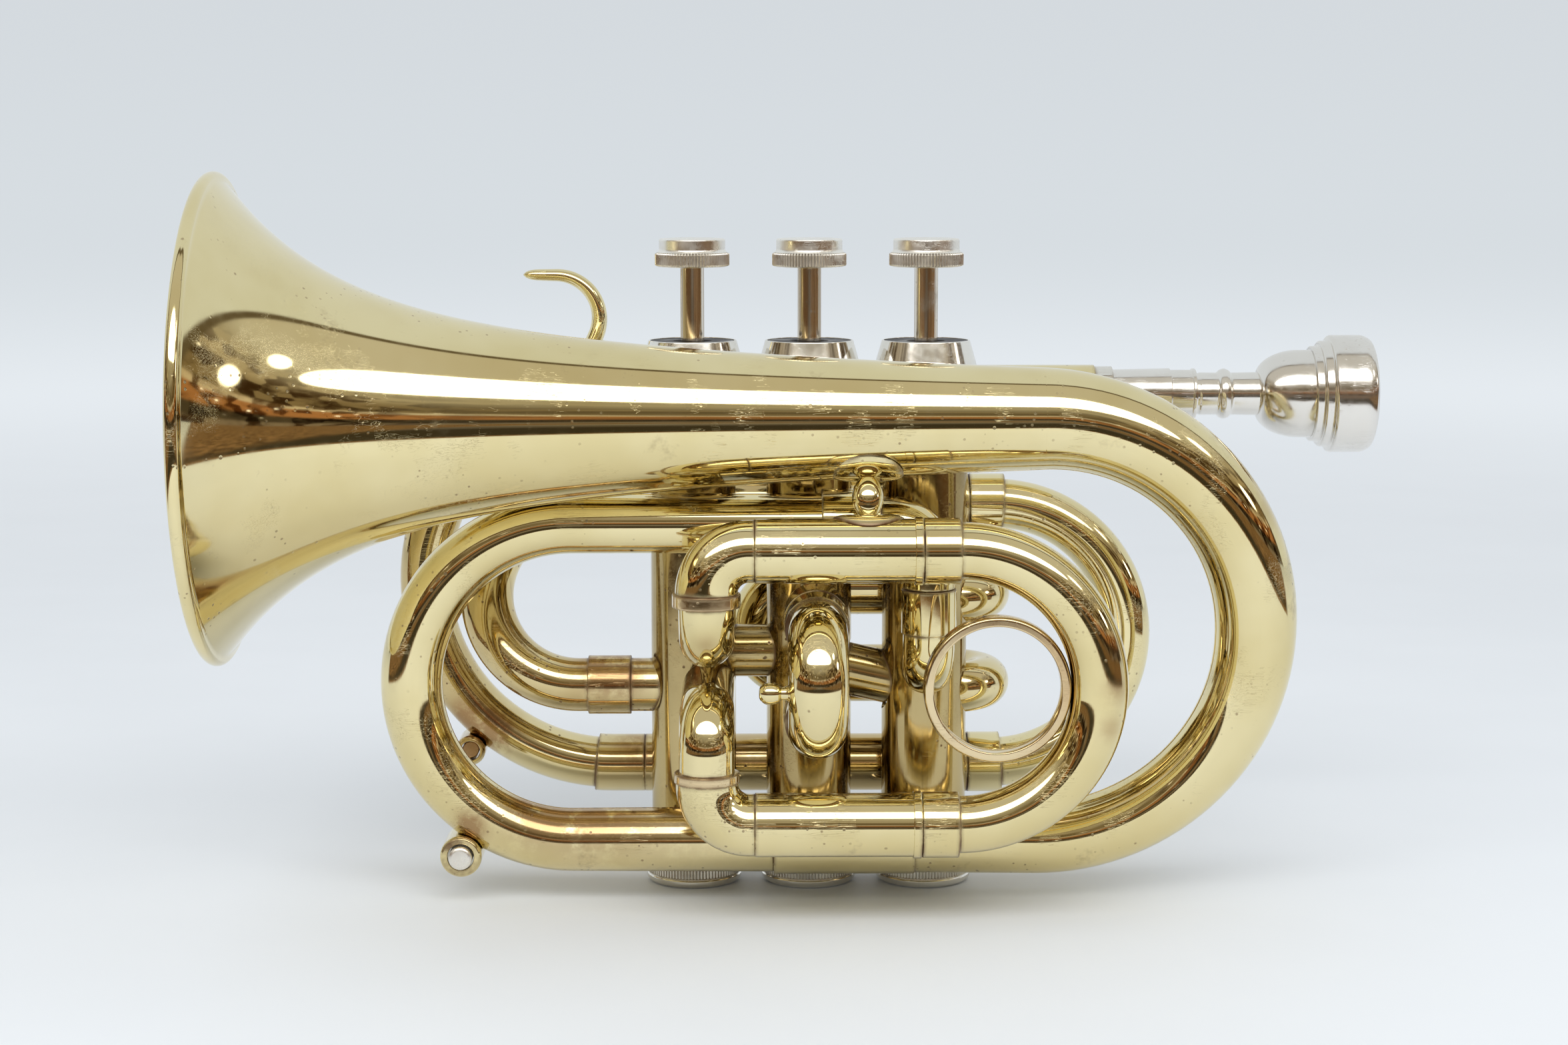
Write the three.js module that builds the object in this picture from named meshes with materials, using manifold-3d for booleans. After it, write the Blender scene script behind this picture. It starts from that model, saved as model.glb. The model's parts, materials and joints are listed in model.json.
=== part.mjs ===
// A pocket trumpet in B flat, in millimetres, +Z up.
// +X runs towards the player's mouthpiece, and -Y is the bell side of the valves.
// Air goes from the mouthpiece through the leadpipe and the main tuning slide on the far side,
// then through valves 3, 2 and 1, and back through the tail and the big bow into the bell.

import * as THREE from 'three';
import { mergeVertices } from 'three/addons/utils/BufferGeometryUtils.js';
import Module from 'manifold-3d';

// Fits and facets

const fitGap = 0.3;
const cutOverrun = 2;
const mergeDistance = 1e-4;
const tubeSides = 10;
const bendSteps = 3; // steps in a quarter turn of a small bend
const bowSteps = 4; // and of a large one
const roundSides = 12;
const mouthpieceSides = 14;
const bellSides = 24;
const bellRings = 8;
const holeSides = 8;
const holeTurnShare = 0.5;

// Valve block

const valveSpacing = 25.5;
const casingRadius = 9.35;
const casingWall = 0.65;
const casingBottomZ = 3;
const pistonStroke = 14.5;
const pistonGap = 0.3;
const pistonBottomZ = 30;
const passageRadius = 3.4;
const passageSteps = 4;
const barrelWall = 1;
const barrelHeight = 30;
const barrelDrop = 1; // below the casing's top
const barrelRoof = 1.5;
const stemRadius = 2.6;
const guideRise = 3; // above the piston's top
const guideThickness = 2;
const guideEarWidth = 3;
const springWire = 1;
const springTurns = 4;
const springSteps = 8; // steps in a turn
const springSides = 4;
const topCapRadius = 11.25;
const topCapHeight = 10.5;
const topCapOverlap = 5; // of the cap's skirt over the casing
const topCapKnurlHeight = 4.5;
const topCapTopRadius = 9.9;
const topCapLip = 0.4;
const topCapRoof = 2.9;
const washerThickness = 0.8;
const washerRecess = 1;
const washerHole = 4.2;
const bottomCapRadius = 10.5;
const bottomCapHeight = 9.5;
const bottomCapFloor = 2.2;
const bottomCapVent = 2;
const bottomCapBevel = 0.8;
const buttonGap = 1.4; // left under a button that is pressed down
const buttonKnurlRadius = 8.1;
const buttonKnurlHeight = 3.2;
const buttonTopRadius = 7.2;
const buttonTopHeight = 3;
const buttonDish = 0.5;
const buttonSocketDepth = 3.2;

// Heights where the tubes meet the casings

const entryPortZ = 44;
const crossover32Z = 51.7;
const crossover21StartZ = 49.5;
const crossover21EndZ = 43.8;
const bellPortZ = 49.5;
const firstUpperZ = 63.3;
const firstLowerZ = 43.2;
const secondUpperZ = 61.5;
const secondLowerZ = 41.3;
const thirdUpperPortZ = 60;
const thirdLowerPortZ = 45;

// Tubes: outer radii and bore

const tubeWall = 0.65;
const outerTubeRadius = 6.5; // sleeves that the slides run in
const slideLegRadius = 5.8;
const slideGap = 0.3;
const ferruleRise = 0.35;
const ferruleLength = 7.8;
const ringLength = 1.8;
const portTubeRadius = 5.8;

// Mouthpiece side, on the far side of the valves

const farGap = 2.15; // between the casings and the far tubes
const leadpipeDrop = 3; // below the skirts of the top caps
const leadpipeLift = 1.1; // above the bell's axis
const leadpipeRadius = 5.8;
const leadpipeBowX = -44.3;
const leadpipeBowRadius = 5.75;
const leadpipeFerruleLength = 11;
const leadpipeFerruleX = -48;
const lowerRunZ = 22.5;
const upperRunDrop = 24.9; // below the leadpipe
const tuningTubeEndX = 36.3;
const tuningBowRun = 6.3;
const tuningBowRadius = 5.6;
const tuningLegLength = 34;
const entryBowX = -50.8;
const entryBowRadius = 5.9;
const entryJointX = -47;
const entryFerruleEndX = -39.3;
const entryFerruleLength = 9.5;
const receiverStartX = 36;
const receiverEndX = 68.5;
const receiverRadius = 6.55;
const receiverRingLength = 4;
const receiverStop = 1.2; // room left past the end of the shank
const leadpipeBraceRadius = 2.6;

// Mouthpiece: lengths in order from its shank to its rim

const shankLength = 41.2;
const shankInReceiver = 28.2;
const shankEndRadius = 4.85;
const shankRadius = 5.75;
const collarRadius = 5.4;
const collarLength = 5.4;
const grooveLength = 0.8;
const grooveRadius = 4.6;
const stemLength = 4.5;
const neckRadius = 4.75;
const beadRadius = 5.7;
const beadLength = 3.1;
const neckLength = 6;
const bowlRadius = 9.85;
const bowlRound = 9.2;
const bowlStraight = 2.6;
const stepRadius = 10.8;
const stepLength = 2.6;
const rimStepRadius = 11.9;
const rimRadius = 13.2;
const rimLength = 8.7;
const rimCrown = 2.4;
const rimOpening = 8.6;
const cupDepth = 11;
const throatRadius = 1.9;
const throatLength = 5;
const backboreRadius = 4;

// Bell side, on the near side of the valves

const bellGap = 2.4; // between the bell and the cap of valve 3
const tailGap = 1.7; // between the tail and the casings
const bellLift = 23.5; // above the tail's upper run
const bellRimX = -123.9;
const bellBowX = 48.3;
const bellTaperGain = 18.8; // radius that the long taper adds to the tail's at the rim
const bellTaperLength = 120; // and the length in which that falls to about a third
const bellFlareGain = 26.5;
const bellFlareLength = 21.2;
const bellStepPower = 2.2;
const bellWall = 0.6;
const bellBeadRadius = 1.6;
const tailRadius = 6.25;
const tailLift = 2.6; // above the third valve's upper tube
const tailBottomZ = 13.1;
const tailBowX = -51.3;
const sleeveX = 7.3;
const sleeveLength = 30.6;
const sleeveRise = 0.4;
const sleeveNeck = 0.5;
const socketX = 2.3;
const socketLength = 12;
const crookRadius = 5.6;
const crookBend = 8;
const crookDrop = 14.3; // below the tail's upper run
const portFerruleLength = 9.7;
const portBend = 9;

// Third valve loop, far enough in front of the bell bow for the slide to come out past it

const bowPassShare = 0.5; // drop of the bow to the slide, as a share of the way round it
const thirdOffsetX = 3.5; // of its knuckles from the valve's own axis
const thirdKnuckleRadius = 6.5;
const thirdPortBend = 8;
const thirdTurnBend = 8.8;
const thirdUpperStraight = 3; // between the two bends of a knuckle
const thirdLowerStraight = 6.1;
const knuckleRingDrop = 1.4; // from the middle of its ring to the bend below or above
const knuckleRingRise = 0.3;
const knuckleRingLength = 2;
const thirdStub = 1.2; // straight end of a knuckle past its bend
const thirdTubeLength = 34.7;
const thirdTubeRadius = 6.7;
const thirdBowRun = 8.1; // from the tubes' ends to the middle of the bow
const thirdBowRadius = 5.95;
const thirdLegLength = 28.7;
const ringOuterRadius = 15.4;
const ringThickness = 2.2;
const ringWidth = 4.6;

// Second and first valve loops

const secondOffsetX = 1.2;
const secondTubeLength = 22; // from the valve's axis
const secondTubeRadius = 6.7;
const secondBowRun = 13;
const secondBowRadius = 6.3;
const secondLegLength = 10.8;
const knobRadius = 2.35;
const knobRodRadius = 1.3;
const knobReach = 3.4;
const knobDrop = 0.8; // below the middle of the bow
const firstTurn = 5; // from the valve's axis to the start of the half turn
const firstPortRadius = 5.6;
const firstTubeLength = 22.5;
const firstBowRun = 9.8;
const firstBowRadius = 6;
const firstLegLength = 19;

// Small fittings

const braceX = 11.5;
const bracePostRadius = 1.9;
const braceBulge = 1;
const braceFootLength = 15;
const braceFootWidth = 10;
const braceFootThickness = 0.9;
const hookX = -50.9; // where it leaves the leadpipe bow
const hookRadius = 1.9;
const hookTipRadius = 1.5;
const hookRise = 19.4;
const hookLean = 9.1; // towards the valves, over its rise
const hookBend = 8.4;
const hookReach = 21.5;
const hookDroop = 0.9;
const hookFootShift = 2; // of its foot towards the straight leadpipe
const hookFootLength = 9;
const hookFootWidth = 6;
const hookFootThickness = 1;
const bowBottomAngle = 270; // degrees round a left bow, from its right-hand side over its top
const frontKeyAngle = 237;
const frontKeyRadius = 4.5;
const frontKeyBore = 2.85;
const frontKeyLength = 12;
const rearKeyAngle = 230;
const rearKeyRadius = 3.4;
const rearKeyBore = 2.2;
const rearKeyLength = 11;
const keyWall = 1.2;
const keyTravel = 1.2;
const keyStub = 1.6;

// Colours of the metals

const brass = { color: 0xd8b45c, metalness: 1, roughness: 0.24 };
const nickel = { color: 0xc9c8c0, metalness: 1, roughness: 0.22 };
const silver = { color: 0xdedcd4, metalness: 1, roughness: 0.2 };
const steel = { color: 0x9a9a96, metalness: 1, roughness: 0.35 };
const darkFelt = { color: 0x3a3a3c, metalness: 0, roughness: 0.9 };

// Planes and places that follow from the sizes above

const valveX = [valveSpacing, 0, -valveSpacing];
const thirdBends = thirdPortBend + thirdTurnBend;
const thirdUpperZ = thirdUpperPortZ + thirdBends + thirdUpperStraight;
const thirdLowerZ = thirdLowerPortZ - thirdBends - thirdLowerStraight;
const tailTopZ = thirdUpperZ + tailLift;
const crookEndZ = tailTopZ - crookDrop;
const bellZ = tailTopZ + bellLift;
const leadpipeZ = bellZ + leadpipeLift;
const upperRunZ = leadpipeZ - upperRunDrop;
const topCapSkirtZ = leadpipeZ + leadpipeDrop;
const topCapTopZ = topCapSkirtZ + topCapHeight;
const casingTopZ = topCapSkirtZ + topCapOverlap;
const barrelTopZ = casingTopZ - barrelDrop;
const pistonTopZ = barrelTopZ - barrelHeight;
const guideZ = pistonTopZ + guideRise;
const buttonZ = topCapTopZ + pistonStroke + buttonGap;
const farY = casingRadius + farGap + outerTubeRadius;
const tubeBore = (radius) => radius - tubeWall;
const slideBore = slideLegRadius + slideGap;
const bellLength = bellBowX - bellRimX;
const nearBell = bellRadius(valveX[2] - bellRimX);
const bellY = -(topCapRadius + nearBell + bellGap);
const tailY = -(casingRadius + tailRadius + tailGap);
const bowPassDrop = (bellZ - thirdUpperZ) / (bellZ - tailBottomZ);
const bowPassY = bellY + (tailY - bellY) * bowPassDrop;
const bowPassRadius = bellRadius(bellLength + (bellZ - thirdUpperZ) / bowPassShare);
const thirdY = bowPassY - bowPassRadius - thirdTubeRadius - ferruleRise - fitGap;

const X = new THREE.Vector3(1, 0, 0);
const Y = new THREE.Vector3(0, 1, 0);
const Z = new THREE.Vector3(0, 0, 1);
const at = (x, y, z) => new THREE.Vector3(x, y, z);

// Outer radius of the bell, its bow and its tail, by the distance of the air path from the rim
function bellRadius(distance) {
  const taper = bellTaperGain * Math.exp(-distance / bellTaperLength);
  const flare = bellFlareGain * Math.exp(-distance / bellFlareLength);
  return tailRadius + taper + flare;
}

// Solids that can be joined and cut

const wasm = await Module();
wasm.setup();

function solidFrom(geometry) {
  const bare = geometry.index ? geometry.toNonIndexed() : geometry.clone();
  bare.deleteAttribute('normal');
  bare.deleteAttribute('uv');
  const merged = mergeVertices(bare, mergeDistance);
  return new wasm.Manifold(new wasm.Mesh({
    numProp: 3,
    vertProperties: merged.attributes.position.array,
    triVerts: new Uint32Array(merged.index.array),
  }));
}

function geometryFrom(solid) {
  const mesh = solid.getMesh();
  const positions = new Float32Array(mesh.vertProperties);
  const geometry = new THREE.BufferGeometry();
  geometry.setAttribute('position', new THREE.BufferAttribute(positions, mesh.numProp));
  geometry.setIndex(new THREE.BufferAttribute(new Uint32Array(mesh.triVerts), 1));
  return geometry;
}

// A closed skin over a row of rings of points. A hollow skin ends where it began, and a solid one
// is closed by a point at the middle of each end.
function loft(rings, hollow) {
  const sides = rings[0].length;
  const points = rings.flat();
  const faces = [];
  const count = hollow ? rings.length : rings.length - 1;
  for (let i = 0; i < count; i++) {
    const next = (i + 1) % rings.length;
    for (let j = 0; j < sides; j++) {
      const side = (j + 1) % sides;
      const [a, b] = [i * sides + j, i * sides + side];
      const [c, d] = [next * sides + j, next * sides + side];
      faces.push(a, b, c, b, d, c);
    }
  }
  if (!hollow) {
    const last = rings.length - 1;
    const middle = (ring) => ring.reduce((sum, p) => sum.add(p), at(0, 0, 0)).divideScalar(sides);
    points.push(middle(rings[0]), middle(rings[last]));
    for (let j = 0; j < sides; j++) {
      const side = (j + 1) % sides;
      faces.push(points.length - 2, side, j);
      faces.push(points.length - 1, last * sides + j, last * sides + side);
    }
  }
  const geometry = new THREE.BufferGeometry().setFromPoints(points);
  geometry.setIndex(faces);
  return solidFrom(geometry);
}

// A route of straight runs joined by round bends, one bend radius for each inner corner
function layRoute(corners, bends = [], steps = bendSteps) {
  const pieces = [];
  let length = 0;
  let start = corners[0].clone();
  let up = null;
  const add = (size, count, place) => {
    if (size < mergeDistance) return;
    pieces.push({ from: length, size, count, place });
    length += size;
  };
  for (let i = 1; i < corners.length; i++) {
    const along = corners[i].clone().sub(corners[i - 1]).normalize();
    if (!up) up = Math.abs(along.z) < Math.SQRT1_2 ? Z.clone() : X.clone();
    up.addScaledVector(along, -up.dot(along)).normalize();
    const next = corners[i + 1];
    const turned = next ? next.clone().sub(corners[i]).normalize() : along;
    const angle = along.angleTo(turned);
    const trim = next ? bends[i - 1] * Math.tan(angle / 2) : 0;
    const end = corners[i].clone().addScaledVector(along, -trim);
    const [origin, normal] = [start, up.clone()];
    add(origin.distanceTo(end), 1, (s) => ({
      point: origin.clone().addScaledVector(along, s), along, up: normal,
    }));
    if (next) {
      const radius = bends[i - 1];
      const inward = turned.clone().addScaledVector(along, -turned.dot(along)).normalize();
      const centre = end.clone().addScaledVector(inward, radius);
      const axis = along.clone().cross(inward);
      const turn = (s) => {
        const a = s / radius;
        return {
          point: centre.clone().addScaledVector(inward, -radius * Math.cos(a))
            .addScaledVector(along, radius * Math.sin(a)),
          along: along.clone().applyAxisAngle(axis, a),
          up: normal.clone().applyAxisAngle(axis, a),
        };
      };
      add(radius * angle, Math.ceil(steps * angle / (Math.PI / 2) - mergeDistance), turn);
      up = normal.clone().applyAxisAngle(axis, angle);
      start = corners[i].clone().addScaledVector(turned, trim);
    }
  }
  const stops = [0];
  pieces.forEach((p) => {
    for (let k = 1; k <= p.count; k++) stops.push(p.from + p.size * k / p.count);
  });
  const place = (s) => {
    const piece = pieces.findLast((p) => p.from <= s + mergeDistance) || pieces[0];
    return piece.place(s - piece.from);
  };
  return { length, stops, place };
}

// A ring of points square to the route, round unless it has another width, and started a share
// of a side further round where its corners would lie on another piece's corners
function ringAt(route, distance, radius, sides, width = radius, turnShare = 0) {
  const { point, along, up } = route.place(distance);
  const side = along.clone().cross(up);
  return Array.from({ length: sides }, (_, k) => {
    const a = 2 * Math.PI * (k + turnShare) / sides;
    return point.clone()
      .addScaledVector(up, radius * Math.cos(a)).addScaledVector(side, width * Math.sin(a));
  });
}

// The radius along a route: a number or a function, with stretches [from, to, radius] that differ
function skin(route, radius, stretches) {
  const plain = typeof radius === 'function' ? radius : () => radius;
  const inside = (s) => stretches.some(([from, to]) => s > from && s < to);
  const list = route.stops.filter((s) => !inside(s)).map((s) => [s, plain(s)]);
  stretches.forEach(([from, to, size]) => {
    const atStart = from <= 0;
    const atEnd = to >= route.length - mergeDistance;
    const marks = [[from, size], [to, size]];
    if (!atStart) marks.unshift([from, plain(from)]);
    if (!atEnd) marks.push([to, plain(to)]);
    const kept = list.filter(([s]) => Math.abs(s - from) > mergeDistance
      && Math.abs(s - to) > mergeDistance);
    const index = kept.findIndex(([s]) => s > from);
    kept.splice(index < 0 ? kept.length : index, 0, ...marks);
    list.length = 0;
    list.push(...kept);
  });
  return list;
}

// An open tube along a route. Collars change its outside, and sockets change its bore.
function pipe(route, outer, bore, { collars = [], sockets = [], sides = tubeSides } = {}) {
  const ring = ([s, radius]) => ringAt(route, s, radius, sides);
  const outside = skin(route, outer, collars).map(ring);
  const inside = skin(route, bore, sockets).map(ring).reverse();
  return loft([...outside, ...inside], true);
}

// A solid bar along a route
function bar(route, radius, sides = tubeSides) {
  return loft(skin(route, radius, []).map(([s, r]) => ringAt(route, s, r, sides)), false);
}

// A straight bar between two points
function rod(from, to, radius, sides = tubeSides) {
  return bar(layRoute([from, to]), radius, sides);
}

// A profile of [radius, place along the axis] pairs turned round an axis through a point
function turned(profile, origin, axis, sides) {
  const points = profile.map(([r, h]) => new THREE.Vector2(r, h));
  const first = points[0];
  const last = points[points.length - 1];
  if (first.x > 0 || last.x > 0) points.push(first.clone());
  const geometry = new THREE.LatheGeometry(points, sides, Math.PI / 2);
  geometry.applyQuaternion(new THREE.Quaternion().setFromUnitVectors(Y, axis));
  geometry.translate(origin.x, origin.y, origin.z);
  return solidFrom(geometry);
}

// The group that everything is built in, and one named mesh for each piece
const horn = new THREE.Group();

function piece(name, solid, look) {
  const geometry = geometryFrom(solid).toNonIndexed();
  geometry.computeVertexNormals();
  const mesh = new THREE.Mesh(geometry, new THREE.MeshStandardMaterial(look));
  mesh.name = name;
  horn.add(mesh);
}

// A cylinder round a casing with a gap to it, to cut back the tubes that end there
function casingCut(x, gap = fitGap) {
  const low = at(x, 0, casingBottomZ - cutOverrun);
  const high = at(x, 0, casingTopZ + cutOverrun);
  return rod(low, high, casingRadius + gap, roundSides);
}

// Valve block

const [first, second, third] = valveX;
const thirdX = third + thirdOffsetX;
const secondX = second + secondOffsetX;

// Where each valve's air enters and leaves its casing: [direction, height, offset along X]
const valvePorts = [
  {
    inlet: [X.clone().negate(), crossover21EndZ, 0],
    outlet: [Y.clone().negate(), bellPortZ, 0],
    loopOut: [X, firstUpperZ, 0],
    loopIn: [X, firstLowerZ, 0],
  },
  {
    inlet: [X.clone().negate(), crossover32Z, 0],
    outlet: [X, crossover21StartZ, 0],
    loopOut: [Y.clone().negate(), secondUpperZ, secondOffsetX],
    loopIn: [Y.clone().negate(), secondLowerZ, secondOffsetX],
  },
  {
    inlet: [X.clone().negate(), entryPortZ, 0],
    outlet: [X, crossover32Z, 0],
    loopOut: [Y.clone().negate(), thirdUpperPortZ, thirdOffsetX],
    loopIn: [Y.clone().negate(), thirdLowerPortZ, thirdOffsetX],
  },
];

function portPoint(x, [direction, z, offset], reach, lift = 0) {
  return at(x + offset, 0, z + lift).addScaledVector(direction, reach);
}

// One passage through a piston, bowed away from the far side of it
function passage(x, from, to, lift) {
  const reach = casingRadius + cutOverrun;
  const start = portPoint(x, from, reach, lift);
  const end = portPoint(x, to, reach, lift);
  const middle = from[0].clone().add(to[0]).multiplyScalar(casingRadius / 4);
  middle.add(at(x + (from[2] + to[2]) / 2, 0, (from[1] + to[1]) / 2 + lift));
  const curve = new THREE.QuadraticBezierCurve3(start, middle, end);
  const rings = [];
  for (let i = 0; i <= passageSteps; i++) {
    const t = i / passageSteps;
    const along = curve.getTangent(t);
    const side = along.clone().cross(Z).normalize();
    const up = side.clone().cross(along);
    rings.push(Array.from({ length: holeSides }, (_, k) => {
      const a = 2 * Math.PI * (k + holeTurnShare) / holeSides;
      return curve.getPoint(t).addScaledVector(up, passageRadius * Math.cos(a))
        .addScaledVector(side, passageRadius * Math.sin(a));
    }));
  }
  return loft(rings, false);
}

function makeCasing(x, ports) {
  const inner = casingRadius - casingWall;
  let casing = turned([
    [inner, casingBottomZ], [casingRadius, casingBottomZ],
    [casingRadius, casingTopZ], [inner, casingTopZ],
  ], at(x, 0, 0), Z, roundSides);
  Object.values(ports).forEach((port) => {
    const start = portPoint(x, port, casingRadius / 2);
    const end = portPoint(x, port, casingRadius + cutOverrun);
    const route = layRoute([start, end]);
    const radius = tubeBore(portTubeRadius);
    casing = casing.subtract(loft(route.stops.map(
      (s) => ringAt(route, s, radius, holeSides, radius, holeTurnShare),
    ), false));
  });
  return casing;
}

function makePiston(x, ports) {
  const radius = casingRadius - casingWall - pistonGap;
  const barrel = radius - fitGap;
  const cavity = barrel - barrelWall;
  let piston = turned([
    [0, pistonBottomZ], [radius, pistonBottomZ], [radius, pistonTopZ], [barrel, pistonTopZ],
    [barrel, barrelTopZ], [stemRadius, barrelTopZ],
    [stemRadius, buttonZ + buttonSocketDepth - fitGap],
    [0, buttonZ + buttonSocketDepth - fitGap],
  ], at(x, 0, 0), Z, roundSides);
  const hollow = turned([
    [0, pistonTopZ], [cavity, pistonTopZ],
    [cavity, barrelTopZ - barrelRoof], [0, barrelTopZ - barrelRoof],
  ], at(x, 0, 0), Z, roundSides);
  const slotBottom = guideZ - fitGap;
  const slotTop = guideZ + guideThickness + pistonStroke + fitGap;
  const slot = new THREE.BoxGeometry(2 * casingRadius, guideEarWidth + 2 * fitGap,
    slotTop - slotBottom);
  slot.translate(x, 0, (slotTop + slotBottom) / 2);
  piston = piston.subtract(hollow).subtract(solidFrom(slot));
  [
    [ports.inlet, ports.outlet, 0],
    [ports.inlet, ports.loopOut, pistonStroke],
    [ports.loopIn, ports.outlet, pistonStroke],
  ].forEach(([from, to, lift]) => {
    piston = piston.subtract(passage(x, from, to, lift));
  });
  return piston;
}

// The guide's two ears stand in the barrel's slots and stop the piston from turning
function makeGuide(x) {
  const reach = casingRadius - casingWall - fitGap;
  const cavity = reach - fitGap - barrelWall - fitGap;
  const top = guideZ + guideThickness;
  const disc = turned([[0, guideZ], [cavity, guideZ], [cavity, top], [0, top]],
    at(x, 0, 0), Z, roundSides);
  const ears = new THREE.BoxGeometry(2 * casingRadius, guideEarWidth, guideThickness);
  ears.translate(x, 0, guideZ + guideThickness / 2);
  const limit = rod(at(x, 0, guideZ - cutOverrun), at(x, 0, top + cutOverrun), reach, roundSides);
  return disc.add(solidFrom(ears).intersect(limit));
}

// Round wire wound in a helix between the guide and the roof of the barrel
function makeSpring(x) {
  const cavity = casingRadius - casingWall - pistonGap - fitGap - barrelWall;
  const wire = springWire / 2;
  const coil = cavity - fitGap - springWire;
  const low = guideZ + guideThickness + fitGap + wire;
  const high = barrelTopZ - barrelRoof - fitGap - wire;
  const rings = [];
  for (let i = 0; i <= springTurns * springSteps; i++) {
    const a = 2 * Math.PI * i / springSteps;
    const out = at(Math.cos(a), Math.sin(a), 0);
    const centre = at(x, 0, low + (high - low) * i / (springTurns * springSteps));
    centre.addScaledVector(out, coil);
    rings.push(Array.from({ length: springSides }, (_, k) => {
      const b = 2 * Math.PI * k / springSides;
      return centre.clone().addScaledVector(out, wire * Math.cos(b))
        .addScaledVector(Z, -wire * Math.sin(b));
    }));
  }
  return loft(rings, false);
}

function makeTopCap(x) {
  const skirt = casingRadius + fitGap;
  const roof = topCapTopZ - topCapRoof;
  const recess = topCapTopRadius - topCapLip;
  const knurlTop = topCapSkirtZ + topCapKnurlHeight;
  const hole = stemRadius + 2 * fitGap;
  return turned([
    [skirt, topCapSkirtZ], [topCapRadius, topCapSkirtZ], [topCapRadius, knurlTop],
    [topCapTopRadius, topCapTopZ], [recess, topCapTopZ],
    [recess, topCapTopZ - washerRecess], [hole, topCapTopZ - washerRecess], [hole, roof],
    [skirt, roof],
  ], at(x, 0, 0), Z, roundSides);
}

function makeWasher(x) {
  const outer = topCapTopRadius - topCapLip - fitGap;
  const low = topCapTopZ - washerRecess;
  return turned([
    [washerHole, low], [outer, low], [outer, low + washerThickness],
    [washerHole, low + washerThickness],
  ], at(x, 0, 0), Z, roundSides);
}

function makeBottomCap(x) {
  const skirt = casingRadius + fitGap;
  return turned([
    [bottomCapVent, 0], [bottomCapRadius - bottomCapBevel, 0],
    [bottomCapRadius, bottomCapBevel], [bottomCapRadius, bottomCapHeight],
    [skirt, bottomCapHeight], [skirt, bottomCapFloor], [bottomCapVent, bottomCapFloor],
  ], at(x, 0, 0), Z, roundSides);
}

function makeButton(x) {
  const knurlTop = buttonZ + buttonKnurlHeight;
  const top = knurlTop + buttonTopHeight;
  const socket = stemRadius + fitGap;
  const rim = buttonTopRadius - 2 * buttonDish;
  return turned([
    [socket, buttonZ], [buttonKnurlRadius, buttonZ], [buttonKnurlRadius, knurlTop],
    [buttonTopRadius, knurlTop], [buttonTopRadius, top], [rim, top], [0, top - buttonDish],
    [0, buttonZ + buttonSocketDepth], [socket, buttonZ + buttonSocketDepth],
  ], at(x, 0, 0), Z, roundSides);
}

valveX.forEach((x, i) => {
  const name = 'valve_' + (i + 1) + '_';
  piece(name + 'casing', makeCasing(x, valvePorts[i]), brass);
  piece(name + 'piston', makePiston(x, valvePorts[i]), nickel);
  piece(name + 'guide', makeGuide(x), brass);
  piece(name + 'spring', makeSpring(x), steel);
  piece(name + 'top_cap', makeTopCap(x), nickel);
  piece(name + 'cap_washer', makeWasher(x), darkFelt);
  piece(name + 'bottom_cap', makeBottomCap(x), nickel);
  piece(name + 'button', makeButton(x), nickel);
});

// Crossover tubes between the casings

function makeCrossover(fromX, fromZ, toX, toZ) {
  const route = layRoute([at(fromX, 0, fromZ), at(toX, 0, toZ)]);
  return pipe(route, portTubeRadius, tubeBore(portTubeRadius))
    .subtract(casingCut(fromX)).subtract(casingCut(toX));
}

piece('crossover_3_to_2', makeCrossover(third, crossover32Z, second, crossover32Z), brass);
piece('crossover_2_to_1', makeCrossover(second, crossover21StartZ, first, crossover21EndZ), brass);

// A half turn with two straight legs, drawn as a route through four corners
function turnBack(from, out, across, back, steps) {
  const bend = across.length() / 2;
  const near = from.clone().add(out);
  const far = near.clone().add(across);
  return layRoute([from, near, far, far.clone().add(back)], [bend, bend], steps);
}

// A slide: two legs that run in the outer tubes from their ends, two ferrules, and a bow
function makeSlide(tubeEnd, direction, legLength, bowRun, across, bowRadius, ferruleRadius, steps) {
  const bend = across.length() / 2;
  const reach = legLength + bowRun + bend;
  const legEnd = tubeEnd.clone().addScaledVector(direction, -legLength);
  const route = turnBack(legEnd, direction.clone().multiplyScalar(reach), across,
    direction.clone().multiplyScalar(-reach), steps);
  const ferruleStart = legLength + fitGap;
  const ferruleEnd = legLength + ferruleLength;
  const radius = (s) => {
    const inLeg = Math.min(s, route.length - s) < ferruleStart + fitGap;
    return inLeg ? slideLegRadius : bowRadius;
  };
  return pipe(route, radius, tubeBore(Math.min(slideLegRadius, bowRadius)), {
    collars: [
      [ferruleStart, ferruleEnd, ferruleRadius],
      [route.length - ferruleEnd, route.length - ferruleStart, ferruleRadius],
    ],
  });
}

// Leadpipe, its bow and the tubes of the main tuning slide

const farSide = (x, z) => at(x, farY, z);
const farAcross = at(0, 0, leadpipeZ - lowerRunZ);
const ferruleRadius = outerTubeRadius + ferruleRise;

piece('leadpipe', pipe(
  layRoute([farSide(leadpipeBowX + fitGap, leadpipeZ), farSide(receiverStartX - fitGap, leadpipeZ)]),
  leadpipeRadius, tubeBore(leadpipeRadius),
), brass);

const leadpipeBow = turnBack(
  farSide(leadpipeBowX, leadpipeZ), at(-farAcross.z / 2, 0, 0), farAcross.clone().negate(),
  at(farAcross.z / 2 + leadpipeFerruleX + leadpipeFerruleLength - leadpipeBowX, 0, 0), bowSteps,
);
piece('leadpipe_bow', pipe(leadpipeBow, leadpipeBowRadius, tubeBore(leadpipeBowRadius), {
  collars: [[leadpipeBow.length - leadpipeFerruleLength + fitGap, leadpipeBow.length,
    outerTubeRadius]],
}), brass);

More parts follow.
